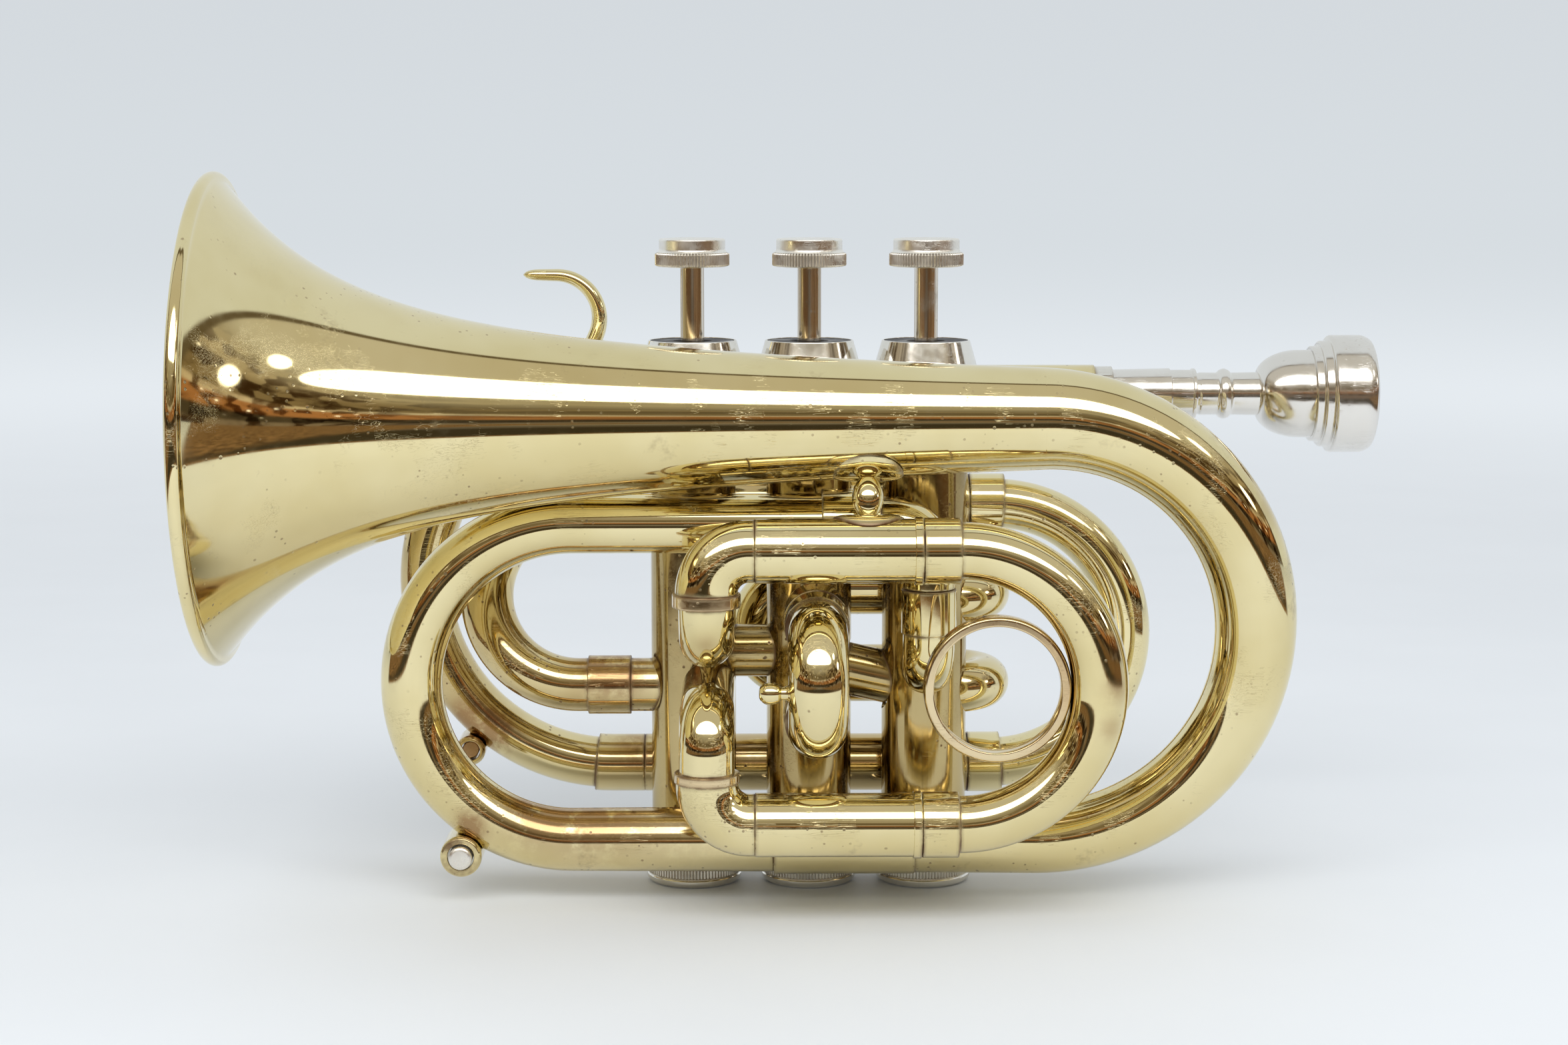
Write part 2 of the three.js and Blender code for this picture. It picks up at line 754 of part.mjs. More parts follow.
function makeOuterTube(from, to, radius) {
  const route = layRoute([from, to]);
  return pipe(route, radius, slideBore, {
    collars: [[route.length - ringLength, route.length, radius + ferruleRise]],
  });
}

const lowerTubeX = leadpipeFerruleX + leadpipeFerruleLength + fitGap;
const upperTubeX = entryJointX + fitGap;
piece('lower_tuning_tube', makeOuterTube(
  farSide(lowerTubeX, lowerRunZ), farSide(tuningTubeEndX, lowerRunZ), outerTubeRadius,
), brass);
piece('upper_tuning_tube', makeOuterTube(
  farSide(upperTubeX, upperRunZ), farSide(tuningTubeEndX, upperRunZ), outerTubeRadius,
), brass);

piece('tuning_slide', makeSlide(
  farSide(tuningTubeEndX, lowerRunZ), X, tuningLegLength, tuningBowRun,
  at(0, 0, upperRunZ - lowerRunZ), tuningBowRadius, ferruleRadius, bowSteps,
), brass);

// Entry bow: from the upper run down and across into valve 3
const entryAcross = at(0, -farY, entryPortZ - upperRunZ);
const entryBend = entryAcross.length() / 2;
const entryRoute = turnBack(
  farSide(entryJointX, upperRunZ), at(entryBowX - entryBend - entryJointX, 0, 0), entryAcross,
  at(third - entryBowX + entryBend, 0, 0), bowSteps,
);
const entryFerruleEnd = entryRoute.length - (third - entryFerruleEndX);
piece('entry_bow', pipe(entryRoute, entryBowRadius, tubeBore(entryBowRadius), {
  collars: [[entryFerruleEnd - entryFerruleLength, entryFerruleEnd, outerTubeRadius]],
}).subtract(casingCut(third)), brass);

// Mouthpiece and its receiver

const shankEndX = receiverEndX - shankInReceiver;
const shankAt = (x) => shankEndRadius
  + (shankRadius - shankEndRadius) * (x - shankEndX) / shankLength;
const receiverRoute = layRoute([
  farSide(receiverStartX, leadpipeZ), farSide(receiverEndX, leadpipeZ),
]);
piece('mouthpiece_receiver', pipe(
  receiverRoute, receiverRadius, (s) => shankAt(receiverStartX + s) + fitGap, {
    collars: [[receiverRoute.length - receiverRingLength, receiverRoute.length,
      receiverRadius - ferruleRise]],
    sockets: [[0, shankEndX - receiverStop - receiverStartX, backboreRadius]],
    sides: mouthpieceSides,
  },
), brass);

// The mouthpiece's outline from the shank to the rim, then back through the cup and the bore
function makeMouthpiece() {
  const shoulder = shankEndX + shankLength;
  const groove = shoulder + collarLength;
  const stem = groove + grooveLength;
  const bead = stem + stemLength;
  const neck = bead + beadLength;
  const bowl = neck + neckLength;
  const firstStep = bowl + bowlRound + bowlStraight;
  const rimStep = firstStep + stepLength;
  const rimBack = rimStep + stepLength;
  const rimFront = rimBack + rimLength;
  const throat = rimFront - rimCrown - cupDepth;
  const round = (count, from, to) => Array.from({ length: count + 1 }, (_, k) => {
    const a = Math.PI / 2 * k / count;
    return [from[0] + (to[0] - from[0]) * Math.sin(a), to[1] - (to[1] - from[1]) * Math.cos(a)];
  });
  const crown = (rimRadius - rimOpening) / 2;
  return turned([
    [shankEndRadius, shankEndX], [shankRadius, shoulder], [collarRadius, shoulder],
    [collarRadius, groove], [grooveRadius, groove], [grooveRadius, stem],
    [neckRadius, stem], [neckRadius, bead], [beadRadius, bead + beadLength / 3],
    [beadRadius, neck - beadLength / 3], [neckRadius, neck],
    ...round(3, [neckRadius, bowl], [bowlRadius, bowl + bowlRound]),
    [bowlRadius, firstStep], [stepRadius, firstStep], [stepRadius, rimStep],
    [rimStepRadius, rimStep], [rimStepRadius, rimBack], [rimRadius, rimBack],
    [rimRadius, rimFront - rimCrown], [rimRadius - crown / 3, rimFront - rimCrown / 3],
    [rimRadius - crown, rimFront], [rimOpening + crown / 3, rimFront - rimCrown / 3],
    ...round(3, [throatRadius, throat], [rimOpening, rimFront - rimCrown]).reverse(),
    [throatRadius, throat - throatLength], [backboreRadius, shankEndX],
  ], farSide(0, leadpipeZ), X, mouthpieceSides);
}
piece('mouthpiece', makeMouthpiece(), silver);

// Bell, big bow, tail, crook and port elbow

const nearSide = (x, z) => at(x, bellY, z);
const tailSide = (x, z) => at(x, tailY, z);

function makeBell() {
  const outside = [];
  for (let i = bellRings; i >= 1; i--) {
    const distance = bellLength * (i / bellRings) ** bellStepPower;
    outside.push([distance, bellRadius(distance)]);
  }
  const rim = bellRadius(0);
  const bead = [0, 1, 2, 3, 4].map((k) => {
    const a = Math.PI * (k / 4 - 0.5);
    return [bellBeadRadius * Math.sin(a + Math.PI), rim - bellBeadRadius + bellBeadRadius * Math.cos(a)];
  });
  const inside = outside.map(([d, r]) => [d, r - bellWall]).reverse();
  const outline = [...outside, ...bead, ...inside];
  return turned(outline.map(([d, r]) => [r, d]).reverse(), nearSide(bellRimX, bellZ), X, bellSides);
}
piece('bell', makeBell(), brass);

const sleeveEnds = [sleeveX + sleeveLength / 2, sleeveX - sleeveLength / 2];
const bellAcross = Math.hypot(bellZ - tailBottomZ, bellY - tailY);
const bellBend = bellAcross / 2 - fitGap;
const bowRoute = layRoute([
  tailSide(sleeveX + fitGap / 2, tailBottomZ), tailSide(bellBowX + bellAcross / 2, tailBottomZ),
  nearSide(bellBowX + bellAcross / 2, bellZ), nearSide(bellBowX + fitGap, bellZ),
], [bellBend, bellBend], bowSteps);
const tailStart = bellLength + bowRoute.length;
const bowRadius = (s) => bellRadius(tailStart - s);
const neckedBow = bowRadius(0) - sleeveNeck;
piece('bell_bow', pipe(bowRoute, bowRadius, (s) => bowRadius(s) - 2 * tubeWall, {
  collars: [[0, sleeveLength / 2, neckedBow]],
}), brass);

const tailBend = (tailTopZ - tailBottomZ) / 2;
const tailRoute = layRoute([
  tailSide(sleeveX - fitGap / 2, tailBottomZ), tailSide(tailBowX - tailBend, tailBottomZ),
  tailSide(tailBowX - tailBend, tailTopZ), tailSide(socketX + socketLength - fitGap, tailTopZ),
], [tailBend, tailBend], bowSteps);
const tailTaper = (s) => bellRadius(tailStart + s);
piece('bell_tail', pipe(tailRoute, tailTaper, (s) => tailTaper(s) - 2 * tubeWall, {
  collars: [[0, sleeveLength / 2, neckedBow]],
}), brass);

const sleeveBore = neckedBow + fitGap / 2;
piece('bell_bow_sleeve', pipe(
  layRoute([tailSide(sleeveEnds[0] - fitGap, tailBottomZ), tailSide(sleeveEnds[1] + fitGap, tailBottomZ)]),
  neckedBow + sleeveNeck + sleeveRise, sleeveBore,
), brass);

const socketBore = tailTaper(tailRoute.length) + fitGap;
const socketRadius = socketBore + tubeWall;
const crookRoute = layRoute([
  tailSide(socketX, tailTopZ), tailSide(first, tailTopZ), tailSide(first, crookEndZ),
], [crookBend]);
piece('tail_crook', pipe(crookRoute, crookRadius, tubeBore(crookRadius), {
  collars: [[0, socketLength + tubeWall, socketRadius]],
  sockets: [[0, socketLength, socketBore]],
}), brass);

const elbowRoute = layRoute([
  tailSide(first, crookEndZ - fitGap), tailSide(first, bellPortZ), at(first, 0, bellPortZ),
], [portBend]);
piece('bell_port_elbow', pipe(elbowRoute, crookRadius, tubeBore(crookRadius), {
  collars: [[0, portFerruleLength, crookRadius + ferruleRise]],
}).subtract(casingCut(first)), brass);

// Third valve loop

const portStartY = -portTubeRadius - fitGap;
const thirdJointX = thirdX + thirdTurnBend + thirdStub;
const thirdTubeEndX = thirdJointX + thirdTubeLength;

function makeKnuckle(portZ, runZ) {
  const route = layRoute([
    at(thirdX, portStartY, portZ), at(thirdX, thirdY, portZ), at(thirdX, thirdY, runZ),
    at(thirdJointX, thirdY, runZ),
  ], [thirdPortBend, thirdTurnBend]);
  const turnLength = thirdTurnBend * Math.PI / 2;
  const ring = route.length - thirdStub - turnLength - knuckleRingDrop;
  const radius = (s) => (s < ring ? portTubeRadius : thirdKnuckleRadius);
  const half = knuckleRingLength / 2;
  return pipe(route, radius, tubeBore(portTubeRadius), {
    collars: [[ring - half, ring + half, thirdKnuckleRadius + knuckleRingRise]],
  }).subtract(casingCut(third));
}
piece('third_upper_knuckle', makeKnuckle(thirdUpperPortZ, thirdUpperZ), brass);
piece('third_lower_knuckle', makeKnuckle(thirdLowerPortZ, thirdLowerZ), brass);

[['upper', thirdUpperZ], ['lower', thirdLowerZ]].forEach(([name, z]) => {
  piece('third_' + name + '_tube', makeOuterTube(
    at(thirdJointX + fitGap, thirdY, z), at(thirdTubeEndX, thirdY, z), thirdTubeRadius,
  ), brass);
});

piece('third_slide', makeSlide(
  at(thirdTubeEndX, thirdY, thirdLowerZ), X, thirdLegLength, thirdBowRun,
  at(0, 0, thirdUpperZ - thirdLowerZ), thirdBowRadius, thirdTubeRadius + ferruleRise / 2, bowSteps,
), brass);

// Finger ring, a rounded band soldered inside the bow
const thirdBend = (thirdUpperZ - thirdLowerZ) / 2;
const ringX = thirdTubeEndX + thirdBowRun + thirdBend - thirdBowRadius - fitGap - ringOuterRadius;
const ringInner = ringOuterRadius - ringThickness;
const ringHalf = ringWidth / 2;
const ringCorner = ringThickness / 3;
piece('third_finger_ring', turned([
  [ringInner, ringHalf - ringCorner], [ringInner, ringCorner - ringHalf],
  [ringInner + ringCorner, -ringHalf], [ringOuterRadius, ringCorner - ringHalf],
  [ringOuterRadius, ringHalf - ringCorner], [ringInner + ringCorner, ringHalf],
], at(ringX, thirdY, (thirdUpperZ + thirdLowerZ) / 2), Y, 2 * tubeSides), brass);

// Second valve loop

[['upper', secondUpperZ], ['lower', secondLowerZ]].forEach(([name, z]) => {
  piece('second_' + name + '_tube', makeOuterTube(
    at(secondX, portStartY, z), at(secondX, -secondTubeLength, z), secondTubeRadius,
  ).subtract(casingCut(second)), brass);
});

piece('second_slide', makeSlide(
  at(secondX, -secondTubeLength, secondLowerZ), Y.clone().negate(), secondLegLength, secondBowRun,
  at(0, 0, secondUpperZ - secondLowerZ), secondBowRadius, secondTubeRadius + ferruleRise / 2,
), brass);

// Pull knob on the crown of the second slide's bow
const secondBend = (secondUpperZ - secondLowerZ) / 2;
const knobZ = (secondUpperZ + secondLowerZ) / 2 - knobDrop;
const crownY = -secondTubeLength - secondBowRun - Math.sqrt(secondBend ** 2 - knobDrop ** 2);
const knobStart = secondBowRadius + fitGap;
piece('second_slide_knob', turned([
  [0, knobStart], [knobRodRadius, knobStart], [knobRodRadius, knobStart + knobReach / 3],
  [knobRadius * Math.SQRT1_2, knobStart + knobReach - knobRadius * Math.SQRT1_2],
  [knobRadius, knobStart + knobReach],
  [knobRadius * Math.SQRT1_2, knobStart + knobReach + knobRadius * Math.SQRT1_2],
  [0, knobStart + knobReach + knobRadius],
], at(secondX, crownY, knobZ), X.clone().negate(), tubeSides), brass);

// First valve loop: each tube turns back from the casing to the far side

function makeFirstTube(z) {
  const bend = farY / 2;
  const route = turnBack(at(first, 0, z), at(firstTurn + bend, 0, 0), at(0, farY, 0),
    at(-bend - firstTubeLength, 0, 0));
  const sleeve = route.length - firstTubeLength;
  return pipe(route, firstPortRadius, tubeBore(firstPortRadius), {
    collars: [[sleeve, route.length, outerTubeRadius]],
    sockets: [[sleeve + tubeWall, route.length, slideBore]],
  }).subtract(casingCut(first));
}
piece('first_upper_tube', makeFirstTube(firstUpperZ), brass);
piece('first_lower_tube', makeFirstTube(firstLowerZ), brass);

const firstTubeEndX = first + firstTurn - firstTubeLength;
piece('first_slide', makeSlide(
  farSide(firstTubeEndX, firstLowerZ), X.clone().negate(), firstLegLength, firstBowRun,
  at(0, 0, firstUpperZ - firstLowerZ), firstBowRadius, outerTubeRadius + ferruleRise / 2,
), brass);

// Braces and hook

// A thin oval foot that lies on a tube along X, cut from a collar round the tube
function makeFoot(point, axis, tubeRadius, sides, length, width, thickness) {
  const half = at(length, 0, 0);
  const flat = Math.cos(Math.PI / sides);
  const around = (radius) => rod(
    point.clone().sub(half), point.clone().add(half), radius / flat, sides,
  );
  const reach = axis.clone().multiplyScalar(tubeRadius + fitGap + thickness + cutOverrun);
  const route = layRoute([point, point.clone().add(reach)]);
  const rings = route.stops.map((s) => ringAt(route, s, length / 2, tubeSides, width / 2));
  const oval = loft(rings, false);
  return oval.intersect(around(tubeRadius + fitGap + thickness))
    .subtract(around(tubeRadius + fitGap));
}

const braceTop = nearSide(braceX, bellZ);
const braceBottom = at(braceX, thirdY, thirdUpperZ);
const braceDown = braceBottom.clone().sub(braceTop).normalize();
const braceUp = braceDown.clone().negate();
const braceBell = bellRadius(braceX - bellRimX);
const postStart = braceBell + fitGap + braceFootThickness / 2;
const postEnd = braceTop.distanceTo(braceBottom) - thirdTubeRadius - fitGap
  - braceFootThickness / 2;
const postAt = (share) => postStart + (postEnd - postStart) * share;
const post = turned([
  [0, postStart], [bracePostRadius, postStart],
  ...[0.2, 0.4, 0.6, 0.8].map((share) => [
    bracePostRadius + braceBulge * Math.sin(Math.PI * share), postAt(share),
  ]),
  [bracePostRadius, postEnd], [0, postEnd],
], braceTop, braceDown, tubeSides);
const braceFoot = [braceFootLength, braceFootWidth, braceFootThickness];
piece('bell_brace', post
  .add(makeFoot(braceTop, braceDown, braceBell, bellSides, ...braceFoot))
  .add(makeFoot(braceBottom, braceUp, thirdTubeRadius, tubeSides, ...braceFoot)), brass);

const leadBrace = rod(at(second, 0, leadpipeZ), farSide(second, leadpipeZ), leadpipeBraceRadius);
const leadCut = rod(
  farSide(second - leadpipeBraceRadius - cutOverrun, leadpipeZ),
  farSide(second + leadpipeBraceRadius + cutOverrun, leadpipeZ), leadpipeRadius + fitGap,
);
piece('leadpipe_brace', leadBrace.subtract(casingCut(second)).subtract(leadCut), brass);

// Finger hook: a tapered rod that rises from the leadpipe and curls over
const hookBase = farSide(hookX, leadpipeZ + leadpipeBowRadius);
const hookCorner = hookBase.clone().add(at(hookLean, 0, hookRise));
const hookStart = hookBase.clone().lerp(hookCorner, -leadpipeBowRadius / hookRise);
const hookTip = hookCorner.clone().add(at(-hookReach, 0, -hookDroop));
const hookRoute = layRoute([hookStart, hookCorner, hookTip], [hookBend], 2 * bendSteps);
const hookTaper = (s) => hookRadius + (hookTipRadius - hookRadius) * s / hookRoute.length;
const bowStart = layRoute([
  farSide(leadpipeBowX + cutOverrun, leadpipeZ),
  farSide(leadpipeBowX - farAcross.z / 2, leadpipeZ),
  farSide(leadpipeBowX - farAcross.z / 2, (leadpipeZ + lowerRunZ) / 2),
], [farAcross.z / 2], bowSteps);
const hookFoot = makeFoot(farSide(hookX + hookFootShift, leadpipeZ), Z, leadpipeBowRadius, tubeSides,
  hookFootLength, hookFootWidth, hookFootThickness);
piece('finger_hook', bar(hookRoute, hookTaper, roundSides / 2).add(hookFoot)
  .subtract(bar(bowStart, leadpipeBowRadius + fitGap)), brass);

// Water keys: a barrel across the bow, and a plunger that is pushed in to open it

function makeKey(name, route, centre, bend, angle, tubeRadius, side, sizes) {
  const { radius, bore, length } = sizes;
  const turn = THREE.MathUtils.degToRad(angle);
  const out = at(Math.cos(turn), 0, Math.sin(turn));
  const origin = centre.clone().addScaledVector(out, bend + tubeRadius + bore);
  const half = length / 2;
  const axis = Y.clone().multiplyScalar(side);
  const barrel = turned([
    [radius - keyWall / 2, -half], [radius, keyWall / 2 - half], [radius, half - keyWall / 2],
    [radius - keyWall / 2, half], [bore, half], [bore, -half],
  ], origin, axis, tubeSides);
  piece(name + '_water_key_barrel',
    barrel.subtract(bar(route, tubeRadius + fitGap)), brass);
  piece(name + '_water_key_plunger', turned([
    [0, keyTravel + fitGap - half], [bore - fitGap, keyTravel + fitGap - half],
    [bore - fitGap, half + keyStub - keyWall / 2], [bore - keyWall / 2, half + keyStub],
    [0, half + keyStub],
  ], origin, axis, tubeSides), nickel);
}

const frontKeyTurn = THREE.MathUtils.degToRad(frontKeyAngle - bowBottomAngle);
const frontKeyTube = tailTaper(sleeveX - tailBowX - tailBend * frontKeyTurn);
makeKey('front', tailRoute, tailSide(tailBowX, (tailTopZ + tailBottomZ) / 2), tailBend,
  frontKeyAngle, frontKeyTube, -1,
  { radius: frontKeyRadius, bore: frontKeyBore, length: frontKeyLength });
makeKey('rear', leadpipeBow, farSide(leadpipeBowX, (leadpipeZ + lowerRunZ) / 2), farAcross.z / 2,
  rearKeyAngle, leadpipeBowRadius, 1,
  { radius: rearKeyRadius, bore: rearKeyBore, length: rearKeyLength });

// The origin is at the middle of the base of the box that holds the horn
const box = new THREE.Box3().setFromObject(horn);
const middle = box.getCenter(at(0, 0, 0));
horn.position.set(-middle.x, -middle.y, -box.min.z);

const trumpet = new THREE.Group();
trumpet.add(horn);
export default trumpet;
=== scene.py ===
"""A pocket trumpet: polished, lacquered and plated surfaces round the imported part.

Sizes are in millimetres, from the middle of the second valve's foot, as in the part's own source.
"""
import functools
import json

from math import acos, ceil, cos, exp, hypot, pi, radians, sin, sqrt, tan

import bpy
import numpy as np
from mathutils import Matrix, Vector

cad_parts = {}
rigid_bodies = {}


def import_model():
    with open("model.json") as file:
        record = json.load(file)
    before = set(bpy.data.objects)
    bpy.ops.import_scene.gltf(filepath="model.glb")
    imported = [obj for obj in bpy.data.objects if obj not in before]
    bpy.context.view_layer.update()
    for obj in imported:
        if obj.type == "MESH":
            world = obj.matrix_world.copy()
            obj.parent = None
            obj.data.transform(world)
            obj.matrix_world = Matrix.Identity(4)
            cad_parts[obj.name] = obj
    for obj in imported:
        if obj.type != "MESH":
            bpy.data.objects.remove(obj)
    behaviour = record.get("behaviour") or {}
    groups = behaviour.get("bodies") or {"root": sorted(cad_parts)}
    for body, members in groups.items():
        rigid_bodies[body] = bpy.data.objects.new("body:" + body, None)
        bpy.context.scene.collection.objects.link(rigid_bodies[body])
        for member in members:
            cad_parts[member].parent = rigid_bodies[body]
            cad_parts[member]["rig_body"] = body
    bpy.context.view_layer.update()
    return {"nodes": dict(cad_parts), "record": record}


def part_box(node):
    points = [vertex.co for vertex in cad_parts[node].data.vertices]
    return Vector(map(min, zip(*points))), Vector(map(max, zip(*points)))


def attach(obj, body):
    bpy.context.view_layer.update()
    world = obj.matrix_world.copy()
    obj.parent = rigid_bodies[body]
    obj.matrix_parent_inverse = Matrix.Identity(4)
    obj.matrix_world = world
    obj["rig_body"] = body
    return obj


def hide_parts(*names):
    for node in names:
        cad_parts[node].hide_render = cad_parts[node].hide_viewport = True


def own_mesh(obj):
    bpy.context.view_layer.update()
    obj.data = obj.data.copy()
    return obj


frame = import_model()

MM = 0.001
foot_low, foot_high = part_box("valve_2_bottom_cap")
ORIGIN = np.array([(foot_low.x + foot_high.x) / 2, (foot_low.y + foot_high.y) / 2, foot_low.z])
SLOTS = {row["node"]: row["material_slot"] for row in frame["record"]["subparts"]}


def show(thing):
    """Puts a new object into the scene."""
    bpy.context.scene.collection.objects.link(thing)


# Camera: fitted to the photograph

PICTURE_WIDTH = 2352
FOCAL_PIXELS = 4340
SENSOR = 36
CAMERA_PLACE = (-12.2, -631.8, 164.5)
CAMERA_PITCH = 7.6
CAMERA_YAW = -0.607

camera = bpy.data.objects.new("camera", bpy.data.cameras.new("camera"))
camera.data.sensor_width = SENSOR
camera.data.lens = SENSOR * FOCAL_PIXELS / PICTURE_WIDTH
camera.data.clip_start = 0.01
camera.data.clip_end = 50
camera.location = ORIGIN + MM * np.array(CAMERA_PLACE)
camera.rotation_euler = (radians(90 - CAMERA_PITCH), 0, radians(CAMERA_YAW))
show(camera)
bpy.context.scene.camera = camera
bpy.context.scene.view_settings.view_transform = "Standard"


# Routes, sweeps and turned shapes

TINY = 1e-6
BEND_STEP = radians(3)
TUBE_SIDES = 56
TUBE_WALL = 0.65
EDGE = 0.22  # how far the edge of a tube or collar is rounded
ROW_GAP = 0.05
ARC = [radians(a) for a in (0, 30, 60, 90)]
JOINT_ROWS = (-1.6, -0.9, -0.45, -0.2, 0.2, 0.45, 0.9, 1.6)
SEAM_WIDTH = 0.38
CORNER_SHARE = 0.42  # of the shorter side beside it, at most, for a profile's rounded corner
SHARP = radians(50)
X, Y, Z = np.eye(3)


def unit(vector):
    return np.asarray(vector, float) / np.linalg.norm(vector)


def turned_by(vector, axis, angle):
    """A vector turned round an axis that it is square to."""
    return vector * cos(angle) + np.cross(axis, vector) * sin(angle)


class Route:
    """Straight runs joined by round bends, one bend radius for each inner corner."""

    def __init__(self, corners, bends=()):
        corners = [np.array(c, float) for c in corners]
        self.runs = []
        self.length = 0.0
        start = corners[0]
        along = unit(corners[1] - corners[0])
        up = Z if abs(along @ Z) < 0.7 else X
        up = unit(up - along * (up @ along))
        for i in range(1, len(corners)):
            along = unit(corners[i] - corners[i - 1])
            if i == len(corners) - 1:
                self.add(np.linalg.norm(corners[i] - start), start, along, up)
                break
            onward = unit(corners[i + 1] - corners[i])
            angle = acos(float(np.clip(along @ onward, -1, 1)))
            bend = bends[i - 1]
            end = corners[i] - along * bend * tan(angle / 2)
            self.add(float((end - start) @ along), start, along, up)
            inward = unit(onward - along * (along @ onward))
            self.add(bend * angle, end, along, up, inward, bend)
            axis = np.cross(along, inward)
            side = up @ axis
            up = side * axis + turned_by(up - side * axis, axis, angle)
            start = corners[i] + onward * bend * tan(angle / 2)

    def add(self, size, start, along, up, inward=None, bend=None):
        if size > TINY:
            self.runs.append((self.length, size, start, along, up, inward, bend))
            self.length += size

    def place(self, s):
        """Point, direction, and the direction that rings start from, at a distance along the route."""
        run = next((r for r in reversed(self.runs) if r[0] <= s + TINY), self.runs[0])
        begin, _, start, along, up, inward, bend = run
        s -= begin
        if inward is None:
            return start + along * s, along, up
        a = s / bend
        axis = np.cross(along, inward)
        point = start + inward * bend * (1 - cos(a)) + along * bend * sin(a)
        side = up @ axis
        return point, turned_by(along, axis, a), side * axis + turned_by(up - side * axis, axis, a)

    def stops(self):
        marks = [0.0]
        for begin, size, _, _, _, _, bend in self.runs:
            count = ceil(size / bend / BEND_STEP) if bend else 1
            marks += [begin + size * k / count for k in range(1, count + 1)]
        return marks


def half_turn(start, out, across, back):
    """A half turn between two straight legs."""
    bend = np.linalg.norm(across) / 2
    near = np.array(start, float) + out
    far = near + across
    return Route([start, near, far, far + back], [bend, bend])


def rounded(place, radius, cut, inward):
    """(place, radius) rows of a rounded edge, from the end face inward."""
    if not cut:
        return [(place, radius)]
    return [(place + inward * cut * (1 - cos(a)), radius - cut * (1 - sin(a))) for a in ARC]


def sized(size):
    """A radius as a function of the place along a tube."""
    return size if callable(size) else lambda s: size


def rows_of(route, radius, collars, edge):
    """(place, radius) rows along a tube's outside, with rounded edges where it steps up, and its joints."""
    zones = []
    cursor = 0.0
    for start, end, size in sorted(collars, key=lambda c: c[0]):
        if start > cursor + TINY:
            zones.append((cursor, start, sized(radius)))
        zones.append((start, end, sized(size)))
        cursor = end
    if cursor < route.length - TINY:
        zones.append((cursor, route.length, sized(radius)))
    joints = sorted({z[0] for z in zones} | {z[1] for z in zones})
    marks = sorted({*route.stops(), *(j + d for j in joints for d in JOINT_ROWS)})
    rows = []
    for k, (start, end, size) in enumerate(zones):
        before = zones[k - 1][2](start) if k else size(start) - 2 * edge
        after = zones[k + 1][2](end) if k + 1 < len(zones) else size(end) - 2 * edge
        cut_in = max(0, min(edge, 0.8 * (size(start) - before)))
        cut_out = max(0, min(edge, 0.8 * (size(end) - after)))
        rows += rounded(start, size(start), cut_in, 1)
        rows += [(m, size(m)) for m in marks if start + cut_in + ROW_GAP < m < end - cut_out - ROW_GAP]
        rows += rounded(end, size(end), cut_out, -1)[::-1]
    return rows, joints


def softened(points, size, closed=False):
    """A profile with rounded corners and a row beside each. A third number is a corner's own size."""
    count = len(points)
    rows = []
    for i, point in enumerate(points):
        here = np.array(point[:2], float)
        if not closed and i in (0, count - 1):
            rows.append(tuple(here))
            continue
        back = np.array(points[i - 1][:2], float) - here
        ahead = np.array(points[(i + 1) % count][:2], float) - here
        reflected_room = CORNER_SHARE * min(np.linalg.norm(back), np.linalg.norm(ahead))
        cut = min(point[2] if len(point) > 2 else size, reflected_room)
        if cut < 0.01 or unit(back) @ unit(ahead) < -0.995:
            rows.append(tuple(here))
            continue
        start = here + unit(back) * cut
        end = here + unit(ahead) * cut
        beside = cut + cut * 1.15 * 0.15
        rows.append(tuple(here + unit(back) * beside))
        for t in (0, 0.25, 0.5, 0.75, 1):
            rows.append(tuple((1 - t) ** 2 * start + 2 * t * (1 - t) * here + t * t * end))
        rows.append(tuple(here + unit(ahead) * beside))
    return rows


class Skin:
    """Points and faces, with two masks for the metals: one for tarnish beside joints, also set in knurl
    grooves to make them darker, and one for a tube's dull inside.
    """

    def __init__(self):
        self.points = []
        self.faces = []
        self.seam = []
        self.inside = []

    def add_points(self, points, seam=0.0, inside=0.0):
        first = sum(len(p) for p in self.points)
        self.points.append(np.asarray(points, float))
        self.seam.append(np.broadcast_to(seam, len(points)))
        self.inside.append(np.broadcast_to(inside, len(points)))
        return first

    def add_rings(self, rings, loop=False, seams=None, insides=None):
        """Quads between rings of points, in one loop through a bore, or closed by a point at each end."""
        sides = len(rings[0])
        seams = seams or [0.0] * len(rings)
        insides = insides or [0.0] * len(rings)
        firsts = [self.add_points(*row) for row in zip(rings, seams, insides)]
        for a, b in zip(firsts, firsts[1:] + (firsts[:1] if loop else [])):
            for j in range(sides):
                k = (j + 1) % sides
                self.faces.append((a + j, a + k, b + k, b + j))
        for number in () if loop else (0, -1):
            middle = self.add_points([np.mean(rings[number], axis=0)], float(np.mean(seams[number])))
            for j in range(sides):
                side = (firsts[number] + (j + 1) % sides, firsts[number] + j)
                self.faces.append((*(side if number == 0 else side[::-1]), middle))
        return self

    def join(self, other):
        first = sum(len(p) for p in self.points)
        self.points += other.points
        self.seam += other.seam
        self.inside += other.inside
        self.faces += [tuple(first + v for v in face) for face in other.faces]


def circle(sides):
    return 2 * pi * np.arange(sides) / sides


def ring(route, s, radius, sides, width=None, knurl=None):
    """Points round a route. width is the reach sideways, knurl the number and depth of its teeth."""
    point, along, up = route.place(s)
    side = np.cross(along, up)
    a = circle(sides)
    reach = np.full(sides, float(radius))
    if knurl:
        teeth, depth = knurl
        reach -= depth * (0.5 - 0.5 * np.cos(teeth * a))
    across = reach if width is None else reach * width / radius
    return point + np.outer(reach * np.cos(a), up) + np.outer(across * np.sin(a), side)


def tarnish(gap):
    return exp(-(gap / SEAM_WIDTH) ** 2)


def seam_at(s, joints):
    return tarnish(min((abs(s - j) for j in joints), default=99))


CASING_RADIUS = 9.35
HUG_GAPS = (1.1, 0.5, 0.2, 0.0, -0.3)


